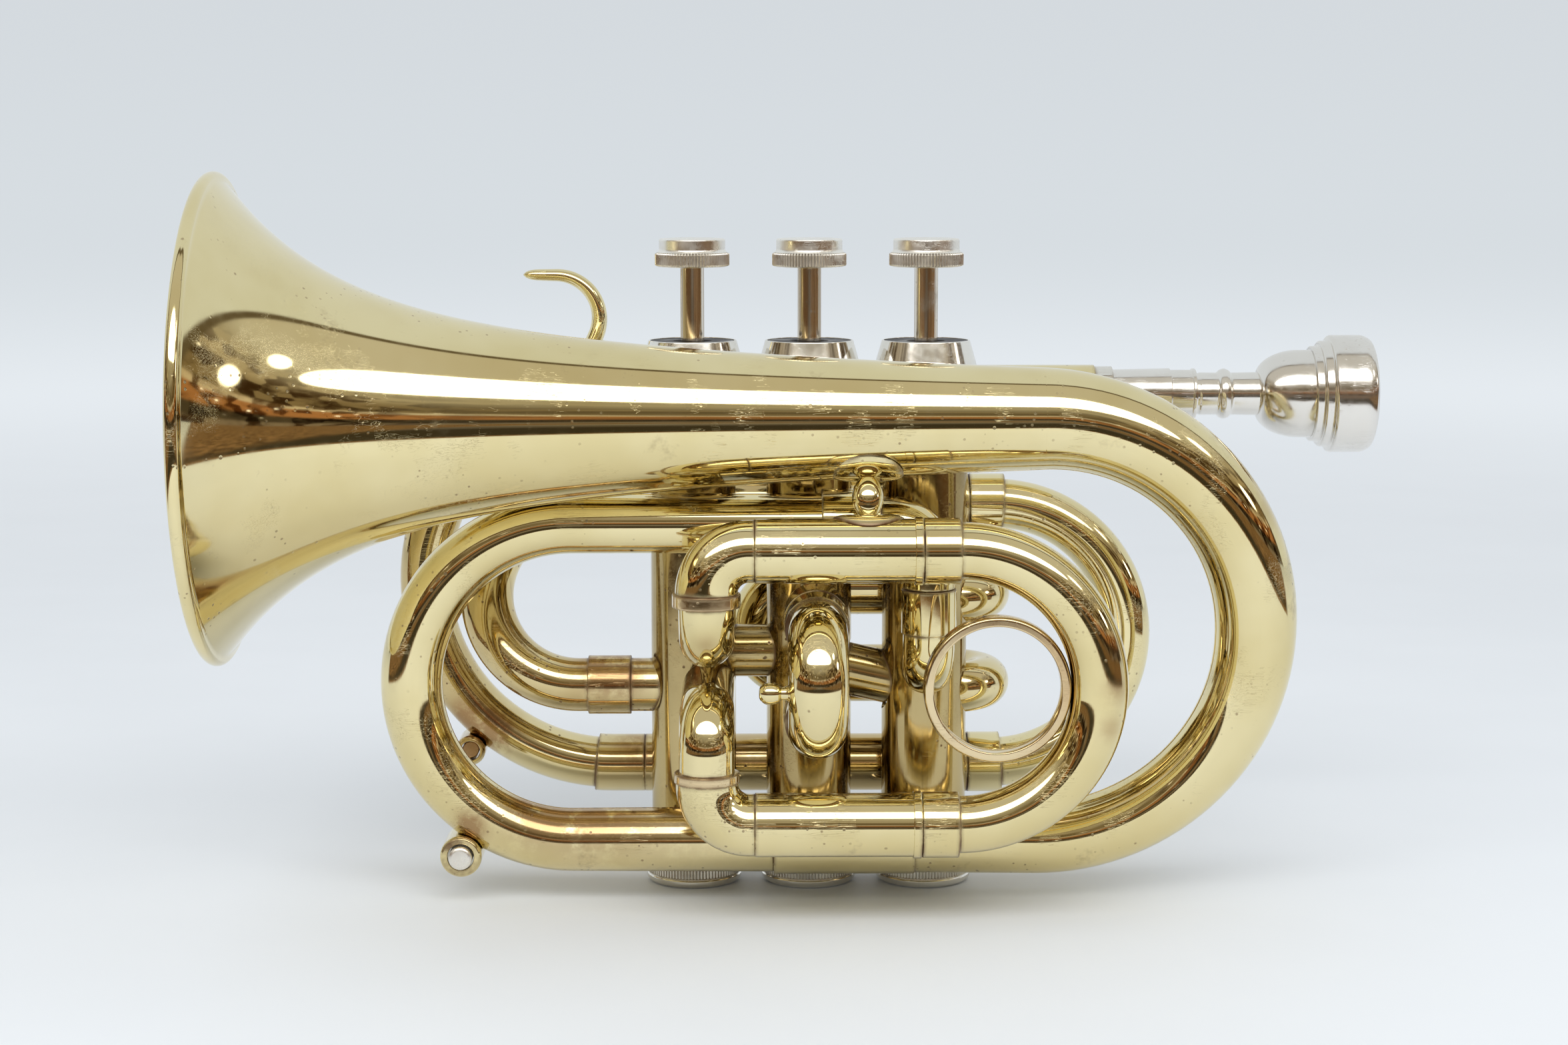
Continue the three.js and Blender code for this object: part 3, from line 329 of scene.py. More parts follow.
def hugged(points, along, valve_x, gap):
    """The points moved along a tube's end until they lie on a valve casing."""
    p = points[:, :2] - np.array([valve_x, 0.0])
    d = along[:2]
    radius = CASING_RADIUS + gap
    a = d @ d
    b = p @ d
    c = (p * p).sum(axis=1) - radius * radius
    t = (-b - np.sqrt(np.maximum(b * b - a * c, 0))) / a
    return points + np.outer(t, along)


def pipe(route, outer, bore=None, collars=(), sockets=(), hug_start=None, hug_end=None, edge=EDGE, clean=()):
    """A hollow tube. hug_start and hug_end are the places along X of the valves whose casings its ends
    lie on, and clean holds the joints that show no tarnish."""
    if bore is None:
        bore = outer - TUBE_WALL
    outside, joints = rows_of(route, outer, collars, edge)
    inside, _ = rows_of(route, bore, sockets, 0)
    hugs = [(0.0, -1, hug_start), (route.length, 1, hug_end)]
    hugs = [hug for hug in hugs if hug[2] is not None]
    clean = [*clean, *(end for end, _, _ in hugs)]
    joints = [j for j in joints if all(abs(j - c) > TINY for c in clean)]

    def wall(rows, size, gaps, inner):
        """Rings from the start to the end. Those at a casing lie at the gaps from it."""
        made = [(ring(route, s, radius, TUBE_SIDES), 0.0 if inner else seam_at(s, joints), inner)
                for s, radius in rows if all(abs(s - end) >= edge + TINY for end, _, _ in hugs)]
        for end, sign, valve_x in hugs:
            along = sign * route.place(end)[1]
            radius = sized(size)(end)
            base = ring(route, end, radius, TUBE_SIDES) - along * 4 * radius
            near = [(hugged(base, along, valve_x, gap), tarnish(gap), inner) for gap in gaps]
            made = made + near if sign > 0 else near[::-1] + made
        return made

    walls = wall(outside, outer, HUG_GAPS, 0.0) + wall(inside, bore, HUG_GAPS[-1:], 1.0)[::-1]
    rings, seams, insides = zip(*walls)
    return Skin().add_rings(rings, True, seams, insides)


def rod(route, radius, sides, width=1.0):
    """A solid bar. width is its reach sideways, as a share of its radius."""
    rows = [(s, sized(radius)(s)) for s in route.stops()]
    return Skin().add_rings([ring(route, s, r, sides, r * width) for s, r in rows])


def turned(rows, origin, axis, loop, sides, knurls=(), joints=(), inside_below=0.0):
    """A (place, radius) profile turned round an axis.
    knurls holds bands of cut ridges: from, to, teeth, depth and least radius."""
    origin = np.array(origin, float)
    route = Route([origin, origin + np.asarray(axis, float)])
    rings, seams = [], []
    for s, radius in rows:
        band = next(((teeth, depth) for low, high, teeth, depth, least in knurls
                     if low < s < high and radius > least), None)
        rings.append(ring(route, s, max(radius, 0.001), sides, knurl=band))
        # Darker at the bottom of each knurl groove, through the same mask as the joints
        groove = (0.5 - 0.5 * np.cos(band[0] * circle(sides))) ** 2 if band else 0.0
        seams.append(np.maximum(seam_at(s, joints), groove))
    insides = [1.0 if radius < inside_below else 0.0 for _, radius in rows]
    return Skin().add_rings(rings, loop, seams, insides)


def lathe(points, origin, axis, loop, sides, soft=0.2, **more):
    """A profile with softened corners, turned round an axis."""
    return turned(softened(points, soft, loop), origin, axis, loop, sides, **more)


# Metals and felt, each with its own wear


class Graph:
    """Short calls for shader nodes. A value is a number, a colour or the output of another node."""

    def __init__(self, name):
        self.material = bpy.data.materials.new(name)
        self.material.use_nodes = True
        self.tree = self.material.node_tree
        self.shader = self.tree.nodes["Principled BSDF"]
        self.place = self.add("ShaderNodeTexCoord").outputs["Object"]

    def add(self, kind, values=None, **settings):
        node = self.tree.nodes.new(kind)
        for key, value in settings.items():
            setattr(node, key, value)
        for key, value in (values or {}).items():
            self.put(node.inputs[key], value)
        return node

    def put(self, socket, value):
        if isinstance(value, bpy.types.NodeSocket):
            self.tree.links.new(value, socket)
        else:
            socket.default_value = (*value, 1) if socket.type == "RGBA" else value

    def noise(self, scale, detail=3, rough=0.55, place=None):
        return self.add("ShaderNodeTexNoise", {
            "Vector": place or self.place, "Scale": scale, "Detail": detail, "Roughness": rough,
        }).outputs["Fac"]

    def cells(self, scale, place=None):
        return self.add("ShaderNodeTexVoronoi", {"Vector": place or self.place, "Scale": scale}).outputs

    def stretched(self, scale, turn=(0, 0, 0)):
        values = {"Vector": self.place, "Rotation": turn, "Scale": scale}
        return self.add("ShaderNodeMapping", values).outputs["Vector"]

    def split(self, vector):
        return self.add("ShaderNodeSeparateXYZ", {"Vector": vector}).outputs

    def math(self, operation, a, b=0.0):
        return self.add("ShaderNodeMath", {0: a, 1: b}, operation=operation).outputs[0]

    def times(self, *values):
        return functools.reduce(functools.partial(self.math, "MULTIPLY"), values)

    def plus(self, *values):
        return functools.reduce(functools.partial(self.math, "ADD"), values)

    def most(self, *values):
        return functools.reduce(functools.partial(self.math, "MAXIMUM"), values)

    def span(self, value, low, high, to_low=0.0, to_high=1.0):
        """A smooth step from to_low to to_high while the value goes from low to high."""
        return self.add("ShaderNodeMapRange", {
            "Value": value, "From Min": low, "From Max": high, "To Min": to_low, "To Max": to_high,
        }, interpolation_type="SMOOTHSTEP").outputs["Result"]

    def mask(self, name):
        return self.add("ShaderNodeAttribute", attribute_name=name).outputs["Fac"]

    def blend(self, share, a, b, **settings):
        values = {"Factor": share, "A": a, "B": b}
        return self.add("ShaderNodeMix", values, data_type="RGBA", **settings).outputs["Result"]

    def banded(self, value, bands):
        """A colour that passes through the bands' tones, each with the place and length of its fade."""
        tone = bands[0][2]
        for start, fade, colour in bands[1:]:
            tone = self.blend(self.span(value, start, start + fade), tone, colour)
        return tone

    def finish(self, **values):
        for key, value in values.items():
            self.put(self.shader.inputs[key.replace("_", " ")], value)
        return self.material


BROWN = (0.15, 0.075, 0.03)
GREY_BROWN = (0.25, 0.19, 0.12)
STAIN_AND_REFLECTION_COPPER = (0.36, 0.2, 0.085)


def scratches(g, turn, fineness, rarity):
    """Thin lines where a stretched noise crosses its middle value, kept in a few places."""
    lines = g.noise(1, 1, 0.3, g.stretched((fineness * 0.03, fineness, fineness), turn))
    thin = g.span(g.math("ABSOLUTE", g.math("SUBTRACT", lines, 0.5)), 0.0, 0.006, 1.0, 0.0)
    return g.times(thin, g.span(g.noise(70), rarity, rarity + 0.06))


def pitted(g, scale, low, high, clouds, rarity):
    """Round spots in some of the cells, kept in a few places."""
    spots = g.span(g.cells(scale)["Distance"], low, high, 1.0, 0.0)
    return g.times(spots, g.span(g.noise(clouds, 2), *rarity))


def plated(name, bright, shade, brown, rough, wear, pitting, coat, streaked=False):
    """A polished metal: cloudy tone, hairline scratches, pits, copper stains, and tarnished joints; some of
    the copper is a painted reflection of tubes above.
    """
    g = Graph(name)
    if streaked:
        broad = g.span(g.noise(1, 3, 0.6, g.stretched((700, 700, 9))), 0.42, 0.58)
    else:
        broad = g.span(g.noise(32), 0.35, 0.7)
    fine = g.noise(240, 5, 0.65)
    lines = g.most(scratches(g, (0.4, 0.9, 0.3), 2200, 0.53), scratches(g, (1.3, 0.2, 1.1), 2800, 0.56))
    small = pitted(g, 520, 0.1, 0.2, 75, (0.52, 0.64))
    large = pitted(g, 230, 0.04, 0.11, 45, (0.55, 0.66))
    pits = g.times(g.most(small, large), pitting)
    edge = g.times(g.mask("seam"), g.span(g.noise(130, 4), 0.3, 0.62))
    worn = g.times(g.span(g.noise(55, 5, 0.7), 0.62, 0.8), wear)
    tarnished = g.math("MINIMUM", g.most(edge, pits, worn), 1.0)
    hollow = g.mask("inside")
    # Copper-brown stains, and a painted copper reflection of the tubes above along the tail's lower run
    copper_stain_and_reflection = g.times(g.mask("stain_and_reflection"), g.span(g.noise(150, 5, 0.7), 0.28, 0.54))
    tone = g.blend(broad, bright, shade)
    tone = g.blend(g.math("MINIMUM", copper_stain_and_reflection, 0.85), tone, STAIN_AND_REFLECTION_COPPER)
    tone = g.blend(g.times(hollow, 0.7), tone, brown)
    tone = g.blend(tarnished, tone, brown)
    dull = g.most(tarnished, g.times(hollow, 0.8))
    roughness = g.plus(g.span(fine, 0.3, 0.75, rough * 0.7, rough * 1.5), g.times(lines, 0.2),
                       g.times(dull, 0.32), g.times(copper_stain_and_reflection, 0.1))
    height = g.plus(g.times(g.plus(lines, pits), -1.0), g.times(fine, 0.06))
    bump = g.add("ShaderNodeBump", {"Height": height, "Strength": 0.35, "Distance": 0.00006})
    return g.finish(
        Base_Color=tone, Metallic=g.math("SUBTRACT", 1.0, g.times(tarnished, 0.5)), Roughness=roughness,
        Normal=bump.outputs["Normal"], Coat_Weight=coat, Coat_Roughness=0.06,
    )


def felt(name):
    g = Graph(name)
    fibres = g.noise(2600, 4, 0.7)
    worn = g.span(g.noise(180), 0.4, 0.7)
    tone = g.blend(worn, g.blend(fibres, (0.045, 0.045, 0.05), (0.12, 0.12, 0.125)), (0.17, 0.17, 0.17))
    bump = g.add("ShaderNodeBump", {"Height": fibres, "Strength": 0.5, "Distance": 0.0002})
    return g.finish(Base_Color=tone, Roughness=g.span(worn, 0, 1, 0.8, 0.5), Normal=bump.outputs["Normal"])


# Bright tone, clouded tone, tarnish, roughness, wear, pitting and lacquer
brass = plated("lacquered brass", (0.84, 0.73, 0.42), (0.76, 0.64, 0.33), BROWN, 0.055, 0.5, 0.6, 0.3)
stained_brass = plated("stained brass", (0.8, 0.68, 0.38), (0.6, 0.46, 0.22), BROWN, 0.07, 1.2, 0.9, 0.2)
# Painted shade: a darker brass for the casings and crossovers, which sit in shade between the tubes, as well
# as aged
aged_and_shaded_brass = plated("aged and shaded brass", (0.54, 0.42, 0.2), (0.33, 0.24, 0.1), BROWN, 0.12, 1.3, 0.8, 0.1)
rosy_brass = plated("rosy brass", (0.8, 0.65, 0.4), (0.64, 0.46, 0.25), BROWN, 0.1, 0.9, 0.7, 0.1)
red_brass = plated("browned brass", (0.46, 0.3, 0.16), (0.26, 0.15, 0.08), BROWN, 0.22, 1.3, 0.8, 0.0)
bare_brass = plated("bare brass", (0.66, 0.54, 0.3), (0.52, 0.4, 0.2), BROWN, 0.25, 0.9, 0.6, 0.0)
nickel = plated("nickel plate", (0.88, 0.86, 0.81), (0.74, 0.7, 0.62), GREY_BROWN, 0.1, 0.2, 0.3, 0.0)
worn_nickel = plated("worn nickel", (0.94, 0.92, 0.87), (0.84, 0.8, 0.73), GREY_BROWN, 0.3, 0.1, 0.2, 0.0)
stem_nickel = plated("stem nickel", (0.86, 0.8, 0.7), (0.5, 0.41, 0.3), GREY_BROWN, 0.12, 0.4, 0.3, 0.0, True)
silver = plated("silver plate", (0.87, 0.845, 0.8), (0.79, 0.755, 0.7), (0.4, 0.3, 0.18), 0.16, 0.2, 0.2, 0.0)
steel = plated("spring steel", (0.5, 0.5, 0.5), (0.4, 0.4, 0.4), (0.12, 0.08, 0.05), 0.25, 0.4, 0.4, 0.0)
FINISHES = {
    "lacquered_brass": brass, "plain_brass": bare_brass, "nickel_plate": nickel,
    "silver_plate": silver, "spring_steel": steel, "grey_felt": felt("grey felt"),
}

# Copper-brown patches where the lacquer has gone, and along the top of the tail's lower run a painted
# reflection of the tubes above it: place, reach and strength
COPPER_PATCHES_AND_REFLECTIONS = (
    ((62.3, -46.5, 60.0), 3.0, 0.6), ((62.6, -46.5, 52.0), 3.0, 0.6), ((61.2, -46.5, 43.5), 2.5, 0.5),
    ((-43.1, -4.3, 49.8), 7.0, 1.9), ((-72.0, 12.4, 31.2), 5.0, 1.8), ((-77.3, 12.9, 34.2), 4.0, 1.1),
    # The four along the top of the tail's lower run, from x -59.7 to -20, are that painted reflection, not
    # stains
    ((-73.2, -23.4, 17.5), 3.2, 1.3), ((-59.7, -20.5, 20.3), 6.5, 1.1), ((-48.0, -19.5, 19.3), 8.0, 1.4),
    ((-34.0, -19.5, 19.3), 8.0, 1.3), ((-20.0, -19.5, 19.3), 8.0, 0.9), ((-21.9, -46.3, 60.5), 2.4, 0.5),
    ((-38.1, 12.4, 27.8), 6.0, 0.9), ((95.6, -30.0, 87.5), 6.0, 0.3),
)


def mesh_of(name, skin):
    """A smooth mesh that carries the masks of the metals."""
    places = np.concatenate(skin.points)
    # Copper stains, and a painted copper reflection, from the places listed above
    stain_and_reflection = sum(strength * np.exp(-((places - np.array(spot)) ** 2).sum(axis=1) / reach ** 2)
                for spot, reach, strength in COPPER_PATCHES_AND_REFLECTIONS)
    masks = {"seam": np.concatenate(skin.seam), "inside": np.concatenate(skin.inside),
             "stain_and_reflection": np.minimum(stain_and_reflection, 1)}
    mesh = bpy.data.meshes.new(name)
    mesh.from_pydata((ORIGIN + MM * places).tolist(), [], skin.faces)
    for mask, values in masks.items():
        layer = mesh.attributes.new(mask, "FLOAT", "POINT")
        layer.data.foreach_set("value", values.astype(np.float32))
    mesh.polygons.foreach_set("use_smooth", [True] * len(mesh.polygons))
    mesh.set_sharp_from_angle(angle=SHARP)
    mesh.update()
    return mesh


def dress(node, skin, finish=None):
    """A detailed piece that stands for a node, on the node's own body."""
    slot = SLOTS[node]
    piece = bpy.data.objects.new(node + "_finish", mesh_of(node, skin))
    piece.data.materials.append(finish or FINISHES[slot])
    show(piece)
    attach(piece, frame["nodes"][node]["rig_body"])
    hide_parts(node)
    return piece


def part_dress(piece, finish, axis, low, high):
    """Another metal on the faces between two places along an axis."""
    piece.data.materials.append(finish)
    for face in piece.data.polygons:
        if low < (face.center[axis] - ORIGIN[axis]) / MM < high:
            face.material_index = 1


def cut(piece, cutters):
    """Takes closed skins out of a piece, and leaves the result in its mesh."""
    made = []
    for number, skin in enumerate(cutters):
        cutter = bpy.data.objects.new("cutter", mesh_of("cutter", skin))
        cutter.data.materials.append(piece.data.materials[0])
        show(cutter)
        step = piece.modifiers.new("cut" + str(number), "BOOLEAN")
        step.object = cutter
        step.operation = "DIFFERENCE"
        step.solver = "EXACT"
        made.append(cutter)
    bpy.context.view_layer.update()
    graph = bpy.context.evaluated_depsgraph_get()
    result = bpy.data.meshes.new_from_object(piece.evaluated_get(graph))
    piece.modifiers.clear()
    piece.data = result
    piece.data.set_sharp_from_angle(angle=SHARP)
    for cutter in made:
        bpy.data.objects.remove(cutter)


# Valve block

VALVES = (25.5, 0.0, -25.5)
FIRST, SECOND, THIRD = VALVES
CASING_BOTTOM, CASING_TOP = 3.0, 115.0
CASING_WALL = 0.65
STROKE = 14.5
PISTON_BOTTOM, PISTON_TOP = 30.0, 84.0
BARREL_TOP = 114.0
STEM_RADIUS = 2.6
GUIDE_Z = 87.0
CAP_SKIRT, CAP_TOP = 110.0, 120.5
CAP_RADIUS, CAP_CROWN_RADIUS = 11.25, 9.6
FOOT_RADIUS, FOOT_HEIGHT = 10.5, 9.5
BUTTON_Z = 136.4
PORT_RADIUS = 5.8
PORT_GAP = 0.6  # from a casing to the end of a tube that is then fitted to it
PORT_Y = -CASING_RADIUS - PORT_GAP
PASSAGE_RADIUS, PASSAGE_STEPS = 3.4, 12

ENTRY_Z, CROSS_32_Z, CROSS_21_START, CROSS_21_END, BELL_PORT_Z = 44.0, 51.7, 49.5, 43.8, 49.5
FIRST_UPPER, FIRST_LOWER = 63.3, 43.2
SECOND_UPPER, SECOND_LOWER = 61.5, 41.3
THIRD_PORT_UPPER, THIRD_PORT_LOWER = 60.0, 45.0
SECOND_X = SECOND + 1.2
THIRD_X = THIRD + 3.5

# Where air enters and leaves each valve: inlet, outlet, out to the loop and back from it
PORTS = (
    ((-X, CROSS_21_END, 0), (-Y, BELL_PORT_Z, 0), (X, FIRST_UPPER, 0), (X, FIRST_LOWER, 0)),
    ((-X, CROSS_32_Z, 0), (X, CROSS_21_START, 0), (-Y, SECOND_UPPER, 1.2), (-Y, SECOND_LOWER, 1.2)),
    ((-X, ENTRY_Z, 0), (X, CROSS_32_Z, 0), (-Y, THIRD_PORT_UPPER, 3.5), (-Y, THIRD_PORT_LOWER, 3.5)),
)


def passage(x, start, end, lift):
    """A bowed passage from one port of a piston to another."""
    reach = CASING_RADIUS + 2
    points = [np.array([x + p[2], 0, p[1] + lift]) + p[0] * reach for p in (start, end)]
    middle = (start[0] + end[0]) * CASING_RADIUS / 4
    middle = middle + np.array([x + (start[2] + end[2]) / 2, 0, (start[1] + end[1]) / 2 + lift])
    rings = []
    for k in range(PASSAGE_STEPS + 1):
        t = k / PASSAGE_STEPS
        point = (1 - t) ** 2 * points[0] + 2 * t * (1 - t) * middle + t * t * points[1]
        along = unit(2 * (1 - t) * (middle - points[0]) + 2 * t * (points[1] - middle))
        side = unit(np.cross(along, Z))
        up = np.cross(side, along)
        a = circle(28)
        rings.append(point + PASSAGE_RADIUS * (np.outer(np.cos(a), up) + np.outer(np.sin(a), side)))
    return Skin().add_rings(rings, insides=[1.0] * len(rings))


def coiled(x, low, high, coil, wire, turns=7, steps=40):
    """A round wire wound upwards."""
    rings = []
    for k in range(turns * steps + 1):
        a = 2 * pi * k / steps
        out = np.array([cos(a), sin(a), 0])
        centre = np.array([x, 0, low + (high - low) * (k / (turns * steps))]) + out * coil
        b = -circle(10)
        rings.append(centre + wire * (np.outer(np.cos(b), out) + np.outer(np.sin(b), Z)))
    return Skin().add_rings(rings)


def make_valve(number, x, ports):
    """A valve from its casing inward, then its caps and button."""
    name = "valve_%d_" % number
    inner = CASING_RADIUS - CASING_WALL

    def upright(points, loop, sides, soft=0.2, **more):
        return lathe(points, (x, 0, 0), Z, loop, sides, soft, **more)

    # Painted shade: the casing takes the darker, aged and shaded brass
    casing = dress(name + "casing", upright([
        (CASING_BOTTOM, inner), (CASING_BOTTOM, CASING_RADIUS),
        (CASING_TOP, CASING_RADIUS), (CASING_TOP, inner),
    ], True, 72, 0.12, inside_below=inner + 0.1), aged_and_shaded_brass)
    cut(casing, [rod(Route([
        np.array([x + p[2], 0, p[1]]) + p[0] * CASING_RADIUS / 2,
        np.array([x + p[2], 0, p[1]]) + p[0] * (CASING_RADIUS + 2),
    ]), PORT_RADIUS - TUBE_WALL, 40) for p in ports])

    body = inner - 0.3
    barrel = body - 0.3
    cavity = barrel - 1
    top = BUTTON_Z + 2.9
    piston = dress(name + "piston", upright([
        (PISTON_BOTTOM, 0), (PISTON_BOTTOM, body), (PISTON_TOP, body), (PISTON_TOP, barrel),
        (BARREL_TOP, barrel), (BARREL_TOP, STEM_RADIUS + 0.5), (BARREL_TOP + 0.5, STEM_RADIUS),
        (top, STEM_RADIUS), (top, 0),
    ], False, 64), stem_nickel)
    hollow = turned([(PISTON_TOP + 0.5, 0), (PISTON_TOP + 0.5, cavity), (BARREL_TOP - 1.5, cavity),
                     (BARREL_TOP - 1.5, 0)], (x, 0, 0), Z, False, 48)
    slot_low, slot_high, slot_half = GUIDE_Z - 0.3, GUIDE_Z + 2 + STROKE + 0.3, 1.8
    slot = Skin()
    slot.add_points([(x + sx * 2 * CASING_RADIUS, sy * slot_half, z)
                     for z in (slot_low, slot_high) for sx, sy in ((-1, -1), (1, -1), (1, 1), (-1, 1))])
    slot.faces = [(3, 2, 1, 0), (4, 5, 6, 7), (0, 1, 5, 4), (1, 2, 6, 5), (2, 3, 7, 6), (3, 0, 4, 7)]
    inlet, outlet, loop_out, loop_in = ports
    cut(piston, [hollow, slot, passage(x, inlet, outlet, 0), passage(x, inlet, loop_out, STROKE),
                 passage(x, loop_in, outlet, STROKE)])

    reach = cavity - 0.3
    guide = upright([(GUIDE_Z, 0), (GUIDE_Z, reach), (GUIDE_Z + 2, reach), (GUIDE_Z + 2, 0)], False, 48)
    for sign in (-1, 1):
        ear = Route([(x + sign * (reach - 1), 0, GUIDE_Z + 1), (x + sign * (inner - 0.4), 0, GUIDE_Z + 1)])
        guide.join(rod(ear, 0.95, 24, 1.5))
    dress(name + "guide", guide)

    wire = 0.45
    low, high = GUIDE_Z + 2.35 + wire, BARREL_TOP - 1.8 - wire
    spring = dress(name + "spring", coiled(x, low, high, cavity - 1.3, wire))
    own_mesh(spring)

    skirt = CASING_RADIUS + 0.3
    roof = CAP_TOP - 2.9
    recess = CAP_CROWN_RADIUS - 0.4
    dress(name + "top_cap", upright([
        (CAP_SKIRT, skirt), (CAP_SKIRT, CAP_RADIUS - 0.5), (CAP_SKIRT + 0.5, CAP_RADIUS),
        (CAP_SKIRT + 4.1, CAP_RADIUS, 0.3), (CAP_SKIRT + 4.5, CAP_RADIUS - 0.35, 0.1),
        (CAP_SKIRT + 5.0, CAP_RADIUS - 0.1, 0.2), (CAP_TOP, CAP_CROWN_RADIUS, 0.18), (CAP_TOP, recess, 0.1),
        (CAP_TOP - 1, recess, 0.05), (CAP_TOP - 1, STEM_RADIUS + 0.6, 0.2), (roof, STEM_RADIUS + 0.6),
        (roof, skirt),
    ], True, 480, knurls=[(CAP_SKIRT + 0.3, CAP_SKIRT + 4.3, 120, 0.28, skirt + 0.8)]))
    dress(name + "cap_washer", upright([
        (CAP_TOP - 1, 4.2), (CAP_TOP - 1, recess - 0.25),
        (CAP_TOP - 0.2, recess - 0.25), (CAP_TOP - 0.2, 4.2),
    ], True, 72, 0.12))

    dress(name + "bottom_cap", upright([
        (0, 2, 0.3), (0, FOOT_RADIUS - 0.8, 0.5), (0.8, FOOT_RADIUS, 0.4), (1.6, FOOT_RADIUS, 0.1),
        (1.9, FOOT_RADIUS - 0.3, 0.1), (2.2, FOOT_RADIUS, 0.1), (7.6, FOOT_RADIUS, 0.1),
        (7.9, FOOT_RADIUS - 0.3, 0.1), (8.2, FOOT_RADIUS, 0.1), (FOOT_HEIGHT, FOOT_RADIUS - 0.1, 0.3),
        (FOOT_HEIGHT, skirt), (2.2, skirt), (2.2, 2),
    ], True, 360, knurls=[(2.25, 7.55, 90, 0.25, skirt + 0.5)]))

    knurl_top = BUTTON_Z + 3.2
    button_top = knurl_top + 3
    dress(name + "button", upright([
        (BUTTON_Z, STEM_RADIUS), (BUTTON_Z, 7.3, 0.2), (BUTTON_Z + 0.35, 8.1, 0.25),
        (knurl_top - 0.3, 8.1, 0.25), (knurl_top, 7.5, 0.12), (knurl_top + 0.5, 7.2, 0.2),
        (button_top - 0.15, 7.2, 0.35), (button_top, 6.4, 0.3), (button_top - 0.35, 4.5, 1.0),
        (button_top - 0.5, 0.0),
    ], False, 432, knurls=[(BUTTON_Z + 0.25, knurl_top - 0.15, 72, 0.5, 7.6)]), worn_nickel)


for valve_number, valve_x in enumerate(VALVES):
    make_valve(valve_number + 1, valve_x, PORTS[valve_number])

# Painted shade: the crossovers take the darker, aged and shaded brass
for node, from_x, from_z, to_x, to_z in (
    ("crossover_3_to_2", THIRD, CROSS_32_Z, SECOND, CROSS_32_Z),
    ("crossover_2_to_1", SECOND, CROSS_21_START, FIRST, CROSS_21_END),
):
    direction = unit(np.array([to_x - from_x, 0, to_z - from_z]))
    middle = np.array([(from_x + to_x) / 2, 0, (from_z + to_z) / 2])
    route = Route([middle - direction * 2.6, middle + direction * 2.6])
    dress(node, pipe(route, PORT_RADIUS, hug_start=from_x, hug_end=to_x), aged_and_shaded_brass)


# Far side: leadpipe, main tuning slide and entry bow

FAR_Y = CASING_RADIUS + 2.15 + 6.5
LEAD_Z = CAP_SKIRT - 3
OUTER_TUBE = 6.5
SLIDE_LEG = 5.8
SLIDE_BORE = SLIDE_LEG + 0.3
FERRULE_RISE = 0.35
FERRULE_LENGTH = 7.8
RING_LENGTH = 1.8
LEAD_RADIUS = 5.8
LEAD_BOW_X, LEAD_BOW_RADIUS, LEAD_FERRULE, LEAD_FERRULE_X = -44.3, 5.75, 11.0, -48.0
LOWER_Z, UPPER_Z = 22.5, 82.1
TUNING_END_X, TUNING_RUN, TUNING_LEG, TUNING_BOW = 36.3, 6.3, 34.0, 5.6
ENTRY_BOW_X, ENTRY_RADIUS, ENTRY_JOINT_X = -50.8, 5.9, -47.0
ENTRY_FERRULE_END, ENTRY_FERRULE = -39.3, 9.5
RECEIVER_START, RECEIVER_END, RECEIVER_RADIUS = 36.0, 68.5, 6.55


def plane(y):
    """A short call for points at one depth."""
    return lambda x, z: np.array([x, y, z])


far = plane(FAR_Y)


def outer_tube(start, end, radius):
    route = Route([start, end])
    ring_start = route.length - RING_LENGTH
    collar = (ring_start, route.length, radius + FERRULE_RISE)
    return pipe(route, radius, SLIDE_BORE, [collar], clean=[ring_start])


def slide(tube_end, direction, leg, run, across, bow, ferrule):
    """Two legs that run in the outer tubes, a ferrule at the end of each, and a bow."""
    reach = leg + run + np.linalg.norm(across) / 2
    route = half_turn(tube_end - direction * leg, direction * reach, across, -direction * reach)
    start, end = leg + 0.12, leg + FERRULE_LENGTH
    size = route.length

    def radius(s):
        return SLIDE_LEG if min(s, size - s) < start + 0.3 else bow

    return pipe(route, radius, min(SLIDE_LEG, bow) - TUBE_WALL,
                [(start, end, ferrule), (size - end, size - start, ferrule)])


dress("leadpipe", pipe(Route([far(LEAD_BOW_X, LEAD_Z), far(RECEIVER_START, LEAD_Z)]), LEAD_RADIUS))
drop = LEAD_Z - LOWER_Z
lead_bow = half_turn(far(LEAD_BOW_X, LEAD_Z), -X * drop / 2, -Z * drop,
                     X * (drop / 2 + LEAD_FERRULE_X + LEAD_FERRULE - LEAD_BOW_X))
collar = (lead_bow.length - LEAD_FERRULE, lead_bow.length, OUTER_TUBE)
dress("leadpipe_bow", pipe(lead_bow, LEAD_BOW_RADIUS, collars=[collar]), stained_brass)
for node, start_x, z in (
    ("lower_tuning_tube", LEAD_FERRULE_X + LEAD_FERRULE, LOWER_Z),
    ("upper_tuning_tube", ENTRY_JOINT_X, UPPER_Z),
):
    dress(node, outer_tube(far(start_x, z), far(TUNING_END_X, z), OUTER_TUBE), stained_brass)
dress("tuning_slide", slide(far(TUNING_END_X, LOWER_Z), X, TUNING_LEG, TUNING_RUN, Z * (UPPER_Z - LOWER_Z),
                            TUNING_BOW, OUTER_TUBE + FERRULE_RISE))

